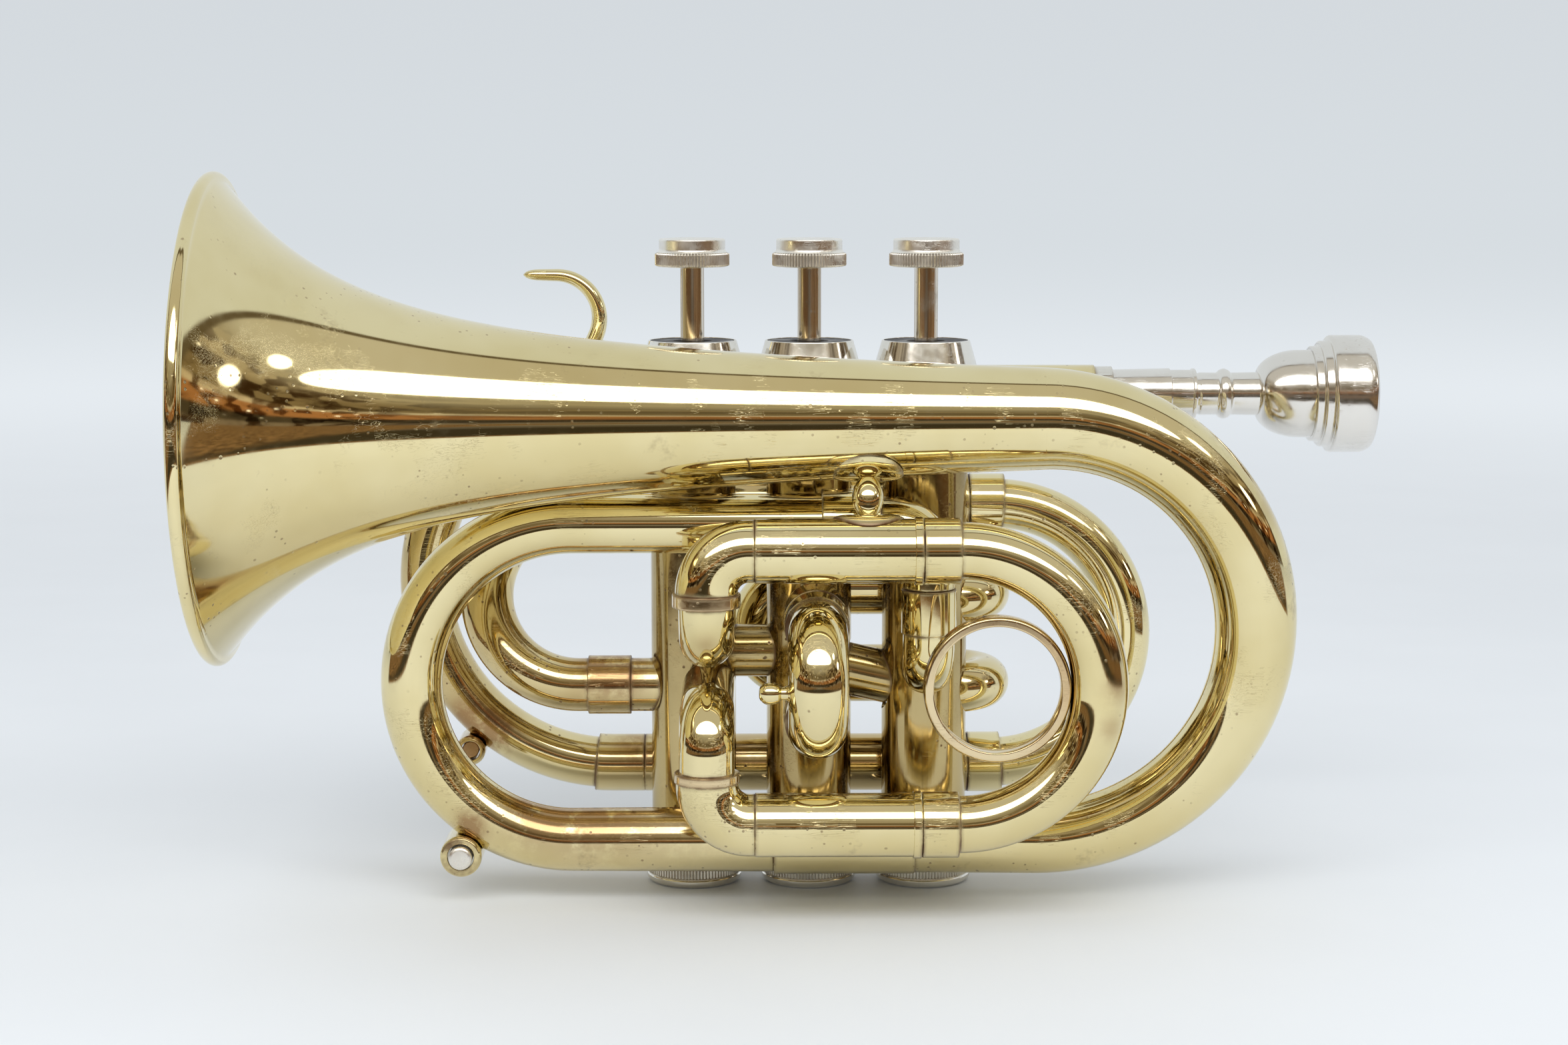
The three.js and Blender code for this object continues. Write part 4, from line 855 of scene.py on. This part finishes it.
entry_across = np.array([0, -FAR_Y, ENTRY_Z - UPPER_Z])
entry_bend = np.linalg.norm(entry_across) / 2
entry_stop = THIRD - CASING_RADIUS - PORT_GAP
entry = half_turn(far(ENTRY_JOINT_X, UPPER_Z), X * (ENTRY_BOW_X - entry_bend - ENTRY_JOINT_X), entry_across,
                  X * (entry_stop - ENTRY_BOW_X + entry_bend))
entry_end = entry.length - (entry_stop - ENTRY_FERRULE_END)
collar = (entry_end - ENTRY_FERRULE, entry_end, OUTER_TUBE)
dress("entry_bow", pipe(entry, ENTRY_RADIUS, collars=[collar], hug_end=THIRD), stained_brass)


# Mouthpiece and its receiver

SHANK_END, SHANK_LENGTH = RECEIVER_END - 28.2, 41.2
SHANK_TIP, SHANK_TOP = 4.85, 5.75
SLEEVE_END = 4
BOWL_DEPTH = 9.2
CUP_DEPTH, CUP_LIP, THROAT_RADIUS = 11, 2.4, 1.9


def shank(x):
    return SHANK_TIP + (SHANK_TOP - SHANK_TIP) * (x - SHANK_END) / SHANK_LENGTH


receiver = Route([far(RECEIVER_START, LEAD_Z), far(RECEIVER_END, LEAD_Z)])
socket = dress("mouthpiece_receiver", pipe(
    receiver, RECEIVER_RADIUS, lambda s: shank(RECEIVER_START + s) + 0.3,
    [(receiver.length - SLEEVE_END, receiver.length, RECEIVER_RADIUS - FERRULE_RISE)],
    [(0, SHANK_END - 1.2 - RECEIVER_START, 4)], edge=0.3,
))
part_dress(socket, nickel, 0, RECEIVER_END - SLEEVE_END, RECEIVER_END + 1)

shoulder = SHANK_END + SHANK_LENGTH
groove = shoulder + 5.4
stem = groove + 0.8
bead = stem + 4.5
neck = bead + 3.1
bowl = neck + 6
first_step = bowl + BOWL_DEPTH + 2.6
rim_step = first_step + 1.9
rim_back = rim_step + 1.9
rim_front = first_step + 13.9
throat = rim_front - CUP_LIP - CUP_DEPTH
quarter = [pi / 2 * k / 14 for k in range(15)]
outline = softened([
    (SHANK_END, 4.0, 0.1), (SHANK_END, SHANK_TIP, 0.3),
    (shoulder, SHANK_TOP, 0.12), (shoulder + 0.1, 5.4, 0.1),
    (groove - 0.5, 5.4, 0.1), (groove - 0.4, 5.7, 0.2), (groove + 0.4, 5.7, 0.3), (groove + 0.5, 4.65, 0.1),
    (stem + 0.3, 4.65, 0.1), (stem + 0.6, 4.8, 0.2),
    (bead, 4.75, 0.3), (bead + 0.5, 5.35, 0.3), (bead + 1.55, 5.75, 0.7), (neck - 0.5, 5.35, 0.3),
    (neck, 4.75, 0.4), (bowl - 1.5, 4.8, 1.2),
], 0.2)[:-1]
outline += [(bowl + BOWL_DEPTH * (1 - cos(a)), 4.85 + 5.0 * sin(a) ** 1.15) for a in quarter]
outline += softened([
    (first_step - 0.05, 9.85), (first_step, 9.9, 0.1), (first_step + 0.1, 10.7, 0.25),
    (rim_step - 0.1, 10.8, 0.3), (rim_step, 11.6, 0.3), (rim_step + 0.3, 11.9, 0.3), (rim_back, 12.0, 0.3),
    (rim_back + 0.2, 12.9, 0.3), (rim_back + 0.7, 13.2, 0.5), (rim_front - 2.2, 13.2, 1.2),
    (rim_front - 0.5, 12.3, 0.9), (rim_front, 10.9, 1.0), (rim_front - 0.6, 9.3, 0.9),
    (rim_front - CUP_LIP, 8.6, 0.5),
], 0.3)[:-1]
outline += [(throat + CUP_DEPTH * (1 - cos(a)), THROAT_RADIUS + 6.7 * sin(a)) for a in quarter[::-1]]
outline += [(throat - 1.5, THROAT_RADIUS), (throat - 5, THROAT_RADIUS), (SHANK_END + 8, 3.6)]
dress("mouthpiece", turned(outline, far(0, LEAD_Z), X, True, 112))


# Near side: bell, big bow, tail, crook and port elbow

BELL_Z = 105.9
BELL_RIM_X, BELL_BOW_X = -123.9, 48.3
BELL_ROWS, BELL_SHEET, BEAD_SIZE = 96, 0.6, 1.5
TAIL_RADIUS, TAIL_SHEET = 6.25, 1.3
TAIL_Y = -CASING_RADIUS - TAIL_RADIUS - 1.7
TAIL_TOP, TAIL_BOTTOM, TAIL_BOW_X = 82.4, 13.1, -51.3
SLEEVE_X, SLEEVE_LENGTH = 7.3, 30.6
SOCKET_X, SOCKET_LENGTH = 2.3, 12.0
CROOK_RADIUS, CROOK_END_Z = 5.6, 68.1


def bell_radius(distance):
    """Outer radius of the bell, its bow and its tail, by the distance of the air path from the rim."""
    return TAIL_RADIUS + 18.8 * exp(-distance / 120) + 26.5 * exp(-distance / 21.2)


BELL_LENGTH = BELL_BOW_X - BELL_RIM_X
BELL_Y = -(CAP_RADIUS + bell_radius(THIRD - BELL_RIM_X) + 2.4)
near = plane(BELL_Y)
tail_side = plane(TAIL_Y)

distances = [BELL_LENGTH * (i / BELL_ROWS) ** 2.2 for i in range(BELL_ROWS, 0, -1)]
outside = [(d, bell_radius(d)) for d in distances if d > 1.2]
rim_radius = bell_radius(0)
bead_rows = [(-BEAD_SIZE * sin(a), rim_radius - BEAD_SIZE + BEAD_SIZE * cos(a))
             for a in (pi * (k / 16 - 0.42) for k in range(15))]
inner_wall = [(d, r - BELL_SHEET) for d, r in reversed(outside)]
dress("bell", turned(outside + bead_rows + inner_wall, near(BELL_RIM_X, BELL_Z), X, True, 192))

bell_across = hypot(BELL_Z - TAIL_BOTTOM, BELL_Y - TAIL_Y)
bow_end = BELL_BOW_X + bell_across / 2
bow = Route([
    tail_side(SLEEVE_X, TAIL_BOTTOM), tail_side(bow_end, TAIL_BOTTOM), near(bow_end, BELL_Z),
    near(BELL_BOW_X, BELL_Z),
], [bell_across / 2 - 0.3] * 2)
tail_start = BELL_LENGTH + bow.length
necked = bell_radius(tail_start) - 0.5
dress("bell_bow", pipe(
    bow, lambda s: bell_radius(tail_start - s), lambda s: bell_radius(tail_start - s) - TAIL_SHEET,
    [(0, SLEEVE_LENGTH / 2, necked)], edge=0.01, clean=[bow.length],
))
tail_bend = (TAIL_TOP - TAIL_BOTTOM) / 2
tail = Route([
    tail_side(SLEEVE_X, TAIL_BOTTOM), tail_side(TAIL_BOW_X - tail_bend, TAIL_BOTTOM),
    tail_side(TAIL_BOW_X - tail_bend, TAIL_TOP), tail_side(SOCKET_X + SOCKET_LENGTH, TAIL_TOP),
], [tail_bend, tail_bend])
dress("bell_tail", pipe(
    tail, lambda s: bell_radius(tail_start + s), lambda s: bell_radius(tail_start + s) - TAIL_SHEET,
    [(0, SLEEVE_LENGTH / 2, necked)],
))
sleeve = Route([tail_side(SLEEVE_X + SLEEVE_LENGTH / 2, TAIL_BOTTOM),
                tail_side(SLEEVE_X - SLEEVE_LENGTH / 2, TAIL_BOTTOM)])
dress("bell_bow_sleeve", pipe(sleeve, necked + 0.9, necked + 0.1, edge=0.3))

crook = Route([tail_side(SOCKET_X, TAIL_TOP), tail_side(FIRST, TAIL_TOP), tail_side(FIRST, CROOK_END_Z)], [8])
tail_end = bell_radius(tail_start + tail.length)
dress("tail_crook", pipe(
    crook, CROOK_RADIUS, collars=[(0, SOCKET_LENGTH + TUBE_WALL, tail_end + 0.3 + TUBE_WALL)],
    sockets=[(0, SOCKET_LENGTH, tail_end + 0.1)], edge=0.35,
))
elbow = Route([tail_side(FIRST, CROOK_END_Z), tail_side(FIRST, BELL_PORT_Z), (FIRST, PORT_Y, BELL_PORT_Z)],
              [7.3])
collar = (0, 9.7, CROOK_RADIUS + FERRULE_RISE)
dress("bell_port_elbow", pipe(elbow, CROOK_RADIUS, collars=[collar], hug_end=FIRST))


# Third valve loop

THIRD_UPPER, THIRD_LOWER = 79.8, 22.1
KNUCKLE_RADIUS, PORT_BEND, RUN_BEND = 6.5, 8, 8.8
THIRD_TUBE, THIRD_TUBE_LENGTH = 6.7, 34.7
THIRD_RUN, THIRD_LEG, THIRD_BOW = 8.1, 28.7, 5.95
RING_RADIUS = 15.4
pass_radius = bell_radius(BELL_LENGTH + (BELL_Z - THIRD_UPPER) / 0.5)
pass_y = BELL_Y + (TAIL_Y - BELL_Y) * (BELL_Z - THIRD_UPPER) / (BELL_Z - TAIL_BOTTOM)
THIRD_Y = pass_y - pass_radius - THIRD_TUBE - FERRULE_RISE - 0.3
third_plane = plane(THIRD_Y)
third_joint = THIRD_X + RUN_BEND + 1.2
third_end = third_joint + THIRD_TUBE_LENGTH

for node, port_z, run_z, band_z, band_half, band_rise in (
    ("third_upper_knuckle", THIRD_PORT_UPPER, THIRD_UPPER, 69.6, 1.4, 0.6),
    ("third_lower_knuckle", THIRD_PORT_LOWER, THIRD_LOWER, 32.3, 1.0, 0.35),
):
    knuckle = Route([
        (THIRD_X, PORT_Y, port_z), third_plane(THIRD_X, port_z), third_plane(THIRD_X, run_z),
        third_plane(third_joint, run_z),
    ], [PORT_BEND, RUN_BEND])
    band = PORT_Y - THIRD_Y - PORT_BEND + PORT_BEND * pi / 2 + abs(band_z - port_z) - PORT_BEND
    piece = dress(node, pipe(
        knuckle, lambda s, band=band: PORT_RADIUS if s < band else KNUCKLE_RADIUS, PORT_RADIUS - TUBE_WALL,
        [(band - band_half, band + band_half, KNUCKLE_RADIUS + band_rise)], hug_start=THIRD,
    ))
    part_dress(piece, rosy_brass, 2, band_z - band_half - 0.1, band_z + band_half + 0.1)

for node, z in (("third_upper_tube", THIRD_UPPER), ("third_lower_tube", THIRD_LOWER)):
    dress(node, outer_tube(third_plane(third_joint, z), third_plane(third_end, z), THIRD_TUBE))
dress("third_slide", slide(third_plane(third_end, THIRD_LOWER), X, THIRD_LEG, THIRD_RUN,
                           Z * (THIRD_UPPER - THIRD_LOWER), THIRD_BOW, THIRD_TUBE + FERRULE_RISE / 2))

third_bend = (THIRD_UPPER - THIRD_LOWER) / 2
ring_x = third_end + THIRD_RUN + third_bend - THIRD_BOW - RING_RADIUS
dress("third_finger_ring", lathe([
    (-2.3, 13.3, 0.3), (-2.3, 15.0, 0.5), (-1.4, RING_RADIUS, 0.5), (1.4, RING_RADIUS, 0.5), (2.3, 15.0, 0.5),
    (2.3, 13.3, 0.3), (1.2, 13.2, 0.3), (-1.2, 13.2, 0.3),
], third_plane(ring_x, (THIRD_UPPER + THIRD_LOWER) / 2), Y, True, 160, 0.4), rosy_brass)


# Second and first valve loops

SECOND_TUBE_LENGTH, SECOND_TUBE = 22.0, 6.7
SECOND_RUN, SECOND_BOW, SECOND_LEG = 13.0, 6.3, 10.8

for node, z in (("second_upper_tube", SECOND_UPPER), ("second_lower_tube", SECOND_LOWER)):
    route = Route([(SECOND_X, PORT_Y, z), (SECOND_X, -SECOND_TUBE_LENGTH, z)])
    collar = (route.length - RING_LENGTH, route.length, SECOND_TUBE + FERRULE_RISE)
    dress(node, pipe(route, SECOND_TUBE, SLIDE_BORE, [collar], hug_start=SECOND), stained_brass)
second_end = np.array([SECOND_X, -SECOND_TUBE_LENGTH, SECOND_LOWER])
dress("second_slide", slide(second_end, -Y, SECOND_LEG, SECOND_RUN, Z * (SECOND_UPPER - SECOND_LOWER),
                            SECOND_BOW, SECOND_TUBE + FERRULE_RISE / 2))
knob_drop = 0.8
second_bend = (SECOND_UPPER - SECOND_LOWER) / 2
crown_y = -SECOND_TUBE_LENGTH - SECOND_RUN - sqrt(second_bend ** 2 - knob_drop ** 2)
dress("second_slide_knob", lathe([(SECOND_BOW + place, *size) for place, *size in (
    (-0.4, 0), (-0.4, 2.2, 0.1), (0.3, 1.5, 0.4), (1.5, 1.3, 0.3), (1.9, 1.9, 0.3), (3.1, 2.35, 0.5),
    (4.8, 2.3, 0.9), (6.0, 1.2, 0.6), (6.05, 0),
)], (SECOND_X, crown_y, (SECOND_UPPER + SECOND_LOWER) / 2 - knob_drop), -X, False, 48, 0.3))

FIRST_TURN, FIRST_PORT, FIRST_TUBE_LENGTH = 5.0, 5.6, 22.5
FIRST_RUN, FIRST_BOW, FIRST_LEG = 9.8, 6.0, 19.0
for node, z in (("first_upper_tube", FIRST_UPPER), ("first_lower_tube", FIRST_LOWER)):
    bend = FAR_Y / 2
    start_x = FIRST + CASING_RADIUS + 0.1
    route = half_turn((start_x, 0, z), X * (FIRST + FIRST_TURN + bend - start_x), Y * FAR_Y,
                      -X * (bend + FIRST_TUBE_LENGTH))
    begin = route.length - FIRST_TUBE_LENGTH
    dress(node, pipe(route, FIRST_PORT, collars=[(begin, route.length, OUTER_TUBE)],
                     sockets=[(begin + TUBE_WALL, route.length, SLIDE_BORE)]), stained_brass)
dress("first_slide", slide(far(FIRST + FIRST_TURN - FIRST_TUBE_LENGTH, FIRST_LOWER), -X, FIRST_LEG, FIRST_RUN,
                           Z * (FIRST_UPPER - FIRST_LOWER), FIRST_BOW, OUTER_TUBE + FERRULE_RISE / 2))


# Braces and hook

PLATE_SHARES = [0.0, 0.2, 0.4, 0.6, 0.75, 0.86, 0.93, 0.97, 1.0]


def foot_plate(point, axis, tube_radius, length, width, thickness):
    """An oval plate with a feathered edge, soldered round a tube that lies along X."""
    axis = unit(axis)
    side = np.cross(X, axis)
    a = circle(64)
    rises = [thickness * (1 - share ** 8 * 0.75) for share in PLATE_SHARES] + [-0.05] * len(PLATE_SHARES)
    rings = []
    for share, rise in zip(PLATE_SHARES + PLATE_SHARES[::-1], rises):
        turn = width / 2 * share * np.sin(a) / tube_radius
        reach = tube_radius + rise
        rings.append(point + np.outer(length / 2 * share * np.cos(a), X)
                     + np.outer(reach * np.cos(turn), axis) + np.outer(reach * np.sin(turn), side))
    seams = [exp(-((1 - share) / 0.08) ** 2) for share in PLATE_SHARES] + [1.0] * len(PLATE_SHARES)
    return Skin().add_rings([r[::-1] for r in rings], seams=seams)


BRACE_X, BRACE_FOOT = 11.5, (15, 14, 0.9)
brace_top = near(BRACE_X, BELL_Z)
brace_bottom = third_plane(BRACE_X, THIRD_UPPER)
brace_down = unit(brace_bottom - brace_top)
brace_bell = bell_radius(BRACE_X - BELL_RIM_X)
post_start = brace_bell - 0.2
post_end = np.linalg.norm(brace_bottom - brace_top) - THIRD_TUBE + 0.2
span = post_end - post_start
post = softened([(post_start, 0), (post_start, 3.1, 0.1), (post_start + 0.6, 2.9, 0.3)], 0.3)
post += [(post_start + 1 + (span - 2) * k / 20, 1.55 + 1.75 * sin(pi * k / 20) ** 0.8)
         for k in range(21)]
post += softened([(post_end - 0.6, 2.9), (post_end - 0.1, 3.1, 0.1), (post_end, 0)], 0.3)
brace = turned(post, brace_top, brace_down, False, 56)
brace.join(foot_plate(brace_top, brace_down, brace_bell, *BRACE_FOOT))
brace.join(foot_plate(brace_bottom, -brace_down, THIRD_TUBE, *BRACE_FOOT))
dress("bell_brace", brace)

saddle_y = CASING_RADIUS - 0.4
saddle = FAR_Y - LEAD_RADIUS + 0.7 - saddle_y
dress("leadpipe_brace", lathe([
    (0, 0), (0, 3.6, 0.1), (0.8, 3.0, 0.5), (saddle / 2, 2.3, 1.0),
    (saddle - 0.8, 3.0, 0.5), (saddle, 3.6, 0.1), (saddle, 0),
], (SECOND, saddle_y, LEAD_Z), Y, False, 48, 0.3))

HOOK_X, HOOK_LEAN, HOOK_RISE, HOOK_REACH, HOOK_BEND, HOOK_TIP = -50.9, 9.1, 20.8, 21.8, 9.6, 3.2
hook_base = far(HOOK_X, LEAD_Z + LEAD_BOW_RADIUS - 0.3)
hook_corner = far(HOOK_X + HOOK_LEAN, LEAD_Z + LEAD_BOW_RADIUS + HOOK_RISE)
hook_route = Route([hook_base, hook_corner, hook_corner - X * HOOK_REACH + Z * 0.3], [HOOK_BEND])
hook_end = hook_route.length
hook_rows = [hook_end * k / 60 for k in range(61)]


def hook_radius(s):
    taper = 1.9 - 0.75 * (s / hook_end) ** 1.5
    flare = 0.8 * exp(-s / 1.2)
    tip = sqrt(max(0.02, 1 - max(0, (s - hook_end + HOOK_TIP) / HOOK_TIP) ** 2))
    return (taper + flare) * tip


hook = Skin().add_rings([ring(hook_route, s, hook_radius(s), 40, hook_radius(s) * 1.12) for s in hook_rows],
                        seams=[exp(-(s / 0.8) ** 2) for s in hook_rows])
hook.join(foot_plate(far(HOOK_X + 2, LEAD_Z), Z, LEAD_BOW_RADIUS, 9, 6, 1))
dress("finger_hook", hook)


# Water keys


def make_key(name, centre, bend, angle, tube_radius, side, radius, bore, length, metal, tip, bow_skin):
    """A short barrel across a bow, cut to lie on it, with a push rod inside."""
    turn = radians(angle)
    out = np.array([cos(turn), 0, sin(turn)])
    origin = centre + out * (bend + tube_radius + bore)
    half = length / 2
    barrel = dress(name + "_water_key_barrel", lathe([
        (-half, radius - 0.6, 0.1), (0.6 - half, radius, 0.5), (half - 0.6, radius, 0.5),
        (half, radius - 0.6, 0.2), (half, bore, 0.2), (-half, bore, 0.2),
    ], origin, Y * side, True, 72, joints=[half]), metal)
    cut(barrel, [bow_skin])
    dress(name + "_water_key_plunger", lathe([
        (1.5 - half, 0), (1.5 - half, bore - 0.3, 0.2), (half + 1.2, bore - 0.3, 0.5),
        (half + 1.6, bore - 0.9, 0.3), (half + 1.6, 0),
    ], origin, Y * side, False, 56), tip)


FRONT_KEY_ANGLE, REAR_KEY_ANGLE = 237, 230
key_turn = radians(FRONT_KEY_ANGLE - 270)
key_tube = bell_radius(tail_start + SLEEVE_X - TAIL_BOW_X - tail_bend * key_turn)
make_key("front", tail_side(TAIL_BOW_X, (TAIL_TOP + TAIL_BOTTOM) / 2), tail_bend, FRONT_KEY_ANGLE, key_tube,
         -1, 4.5, 2.85, 12, brass, worn_nickel, rod(tail, lambda s: bell_radius(tail_start + s) - 0.02, 48))
make_key("rear", far(LEAD_BOW_X, (LEAD_Z + LOWER_Z) / 2), drop / 2, REAR_KEY_ANGLE, LEAD_BOW_RADIUS,
         1, 3.4, 2.2, 11, stained_brass, red_brass, rod(lead_bow, LEAD_BOW_RADIUS - 0.02, 48))


# Floor, backdrop and light

TABLE_REACH = 0.385  # where the pale table ends in the horn's reflections
FAR_TONE = (0.79, 0.835, 0.875)
LOW_TONE = (0.68, 0.725, 0.76)
TOP_TONE = (0.66, 0.7, 0.735)
FLOOR_REACH = 8.0


def floor_material():
    """A pale surface that keeps the horn's shadow, and meets the backdrop without a line. Beyond the table's
    reach, glossy rays see a painted reflection of a dark room and boards.
    """
    g = Graph("pale floor")
    place = g.split(g.place)
    distance = g.add("ShaderNodeVectorMath", {0: g.place}, operation="LENGTH").outputs["Value"]
    paths = g.add("ShaderNodeLightPath").outputs
    g.finish(Base_Color=g.blend(g.span(g.noise(9), 0.3, 0.7), (0.865, 0.89, 0.915), (0.885, 0.91, 0.935)),
             Roughness=0.6)
    # Painted reflection: a room and boards that only glossy rays see, beyond the table's reach
    reflected_room = g.banded(distance, [
        (0, 0, (0.26, 0.15, 0.07)), (TABLE_REACH + 0.02, 0.03, (0.05, 0.04, 0.025)),
        (0.9, 0.4, (0.13, 0.11, 0.09)), (1.5, 0.6, (0.24, 0.21, 0.175)),
    ])
    sideways = g.span(g.math("ABSOLUTE", place["X"]), 0.36, 0.6)
    reflected_boards = g.blend(g.span(g.noise(16, 4, 0.7), 0.4, 0.6), (0.09, 0.055, 0.03), (0.32, 0.19, 0.09))
    away = g.blend(g.span(g.math("DIVIDE", 1.0, distance), 0.2, 0.8), LOW_TONE, FAR_TONE)
    tone = g.blend(paths["Is Glossy Ray"], away, g.blend(sideways, reflected_room, reflected_boards))
    glow = g.add("ShaderNodeEmission", {"Color": tone})
    front = g.times(place["Y"], -1.0)
    edge = g.times(g.span(distance, TABLE_REACH, TABLE_REACH + 0.01), g.span(front, -0.03, 0.02))
    far_share = g.times(paths["Is Camera Ray"], g.span(distance, 0.4, 1.4))
    share = g.most(far_share, g.times(paths["Is Glossy Ray"], edge))
    mixed = g.add("ShaderNodeMixShader", {0: share, 1: g.shader.outputs[0], 2: glow.outputs[0]})
    g.put(g.tree.nodes["Material Output"].inputs["Surface"], mixed.outputs[0])
    return g.material


floor_mesh = bpy.data.meshes.new("floor")
corners = ((-1, -1), (1, -1), (1, 1), (-1, 1))
floor_mesh.from_pydata([(sx * FLOOR_REACH, sy * FLOOR_REACH, 0) for sx, sy in corners], [], [(0, 1, 2, 3)])
floor = bpy.data.objects.new("floor", floor_mesh)
floor.location.z = foot_low.z - 0.0001
floor_mesh.materials.append(floor_material())
show(floor)


class Sky(Graph):
    """The same short calls, for the nodes of the world."""

    def __init__(self, name):
        self.world = bpy.data.worlds.new(name)
        self.world.use_nodes = True
        self.tree = self.world.node_tree
        self.place = self.add("ShaderNodeTexCoord").outputs["Generated"]


# Painted glints: bright spots in the world that only glossy rays see, and that light nothing
GLINT_SPOTS = ((0.95, -0.15, 0.28), (0.79, -0.3, 0.53))
sky = Sky("studio")
toward = sky.split(sky.place)
height = toward["Z"]
aside = sky.math("ABSOLUTE", toward["X"])
# Painted reflection: a room with bands and clutter that only glossy rays see; it lights nothing, as other
# rays see an even tone
front_room = sky.banded(height, [
    (0, 0, (0.2, 0.17, 0.14)), (0.01, 0.02, (0.06, 0.05, 0.035)), (0.07, 0.02, (0.36, 0.18, 0.08)),
    (0.15, 0.015, (0.55, 0.5, 0.42)), (0.18, 0.02, (0.2, 0.16, 0.1)), (0.27, 0.13, (0.42, 0.38, 0.3)),
    (0.45, 0.15, (0.6, 0.57, 0.5)),
])
boxes = sky.split(sky.cells(11.0, sky.stretched((1, 1, 2.2)))["Color"])["X"]
clutter = sky.plus(sky.times(sky.noise(9, 5, 0.65, sky.stretched((1, 1, 2.4))), 0.6), sky.times(boxes, 0.4))
clutter_tone = sky.blend(sky.span(clutter, 0.38, 0.6), (0.2, 0.12, 0.06), (1.2, 1.1, 0.95))
clutter_share = sky.times(sky.span(height, 0.3, 0.55, 1.0, 0.0), sky.span(aside, 0.25, 0.7, 0.35, 1.0))
cluttered = sky.blend(clutter_share, front_room, clutter_tone, blend_type="MULTIPLY")
# Painted glints: small bright cells low in the painted room
spark_glints = sky.span(sky.cells(8.0, sky.stretched((1, 1, 2.5)))["Distance"], 0.09, 0.12, 1.0, 0.0)
low_band = sky.times(sky.span(height, 0.04, 0.08), sky.span(height, 0.3, 0.4, 1.0, 0.0))
glinting_room = sky.blend(sky.times(spark_glints, low_band), cluttered, (2.2, 2.1, 1.9))
# Each glint spot is painted bright where glossy rays meet it
for glint_spot in GLINT_SPOTS:
    apart = sky.add("ShaderNodeVectorMath", {0: sky.place, 1: glint_spot}, operation="DISTANCE").outputs["Value"]
    glinting_room = sky.blend(sky.span(apart, 0.05, 0.08, 1.0, 0.0), glinting_room, (5.0, 4.8, 4.5))
# A painted reflection, seen only by glossy rays: a dark line where the room's ceiling meets the top of the
# pale backdrop
beyond = sky.plus(sky.math("SUBTRACT", toward["Y"], sky.times(aside, 0.25)), 0.08)
line = sky.times(sky.span(beyond, -0.045, -0.015), sky.span(beyond, 0.015, 0.045, 1.0, 0.0))
line = sky.times(line, sky.most(sky.span(height, 0.5, 0.7), sky.span(aside, 0.5, 0.6)))
pale_room = sky.blend(sky.span(beyond, 0.0, 0.05), glinting_room, (0.74, 0.78, 0.8))
mirrored = sky.blend(line, pale_room, (0.13, 0.1, 0.06))
paths = sky.add("ShaderNodeLightPath").outputs
shiny = sky.most(paths["Is Glossy Ray"], paths["Is Transmission Ray"])
even = sky.blend(shiny, (0.69, 0.715, 0.74), mirrored)
backdrop = sky.blend(sky.span(height, -0.03, 0.06), LOW_TONE, TOP_TONE)
shown = sky.blend(paths["Is Camera Ray"], even, backdrop)
sky.put(sky.tree.nodes["Background"].inputs["Color"], shown)
bpy.context.scene.world = sky.world

softbox_data = bpy.data.lights.new("front softbox", "AREA")
softbox_data.shape = "ELLIPSE"
softbox_data.size, softbox_data.size_y = 2.15, 0.46
softbox_data.energy = 7.5
softbox = bpy.data.objects.new("front softbox", softbox_data)
softbox.location = (0.0, -0.78, 0.83)
softbox.rotation_euler = (Vector((0, 0, 0.08)) - softbox.location).to_track_quat("-Z", "Y").to_euler()
show(softbox)
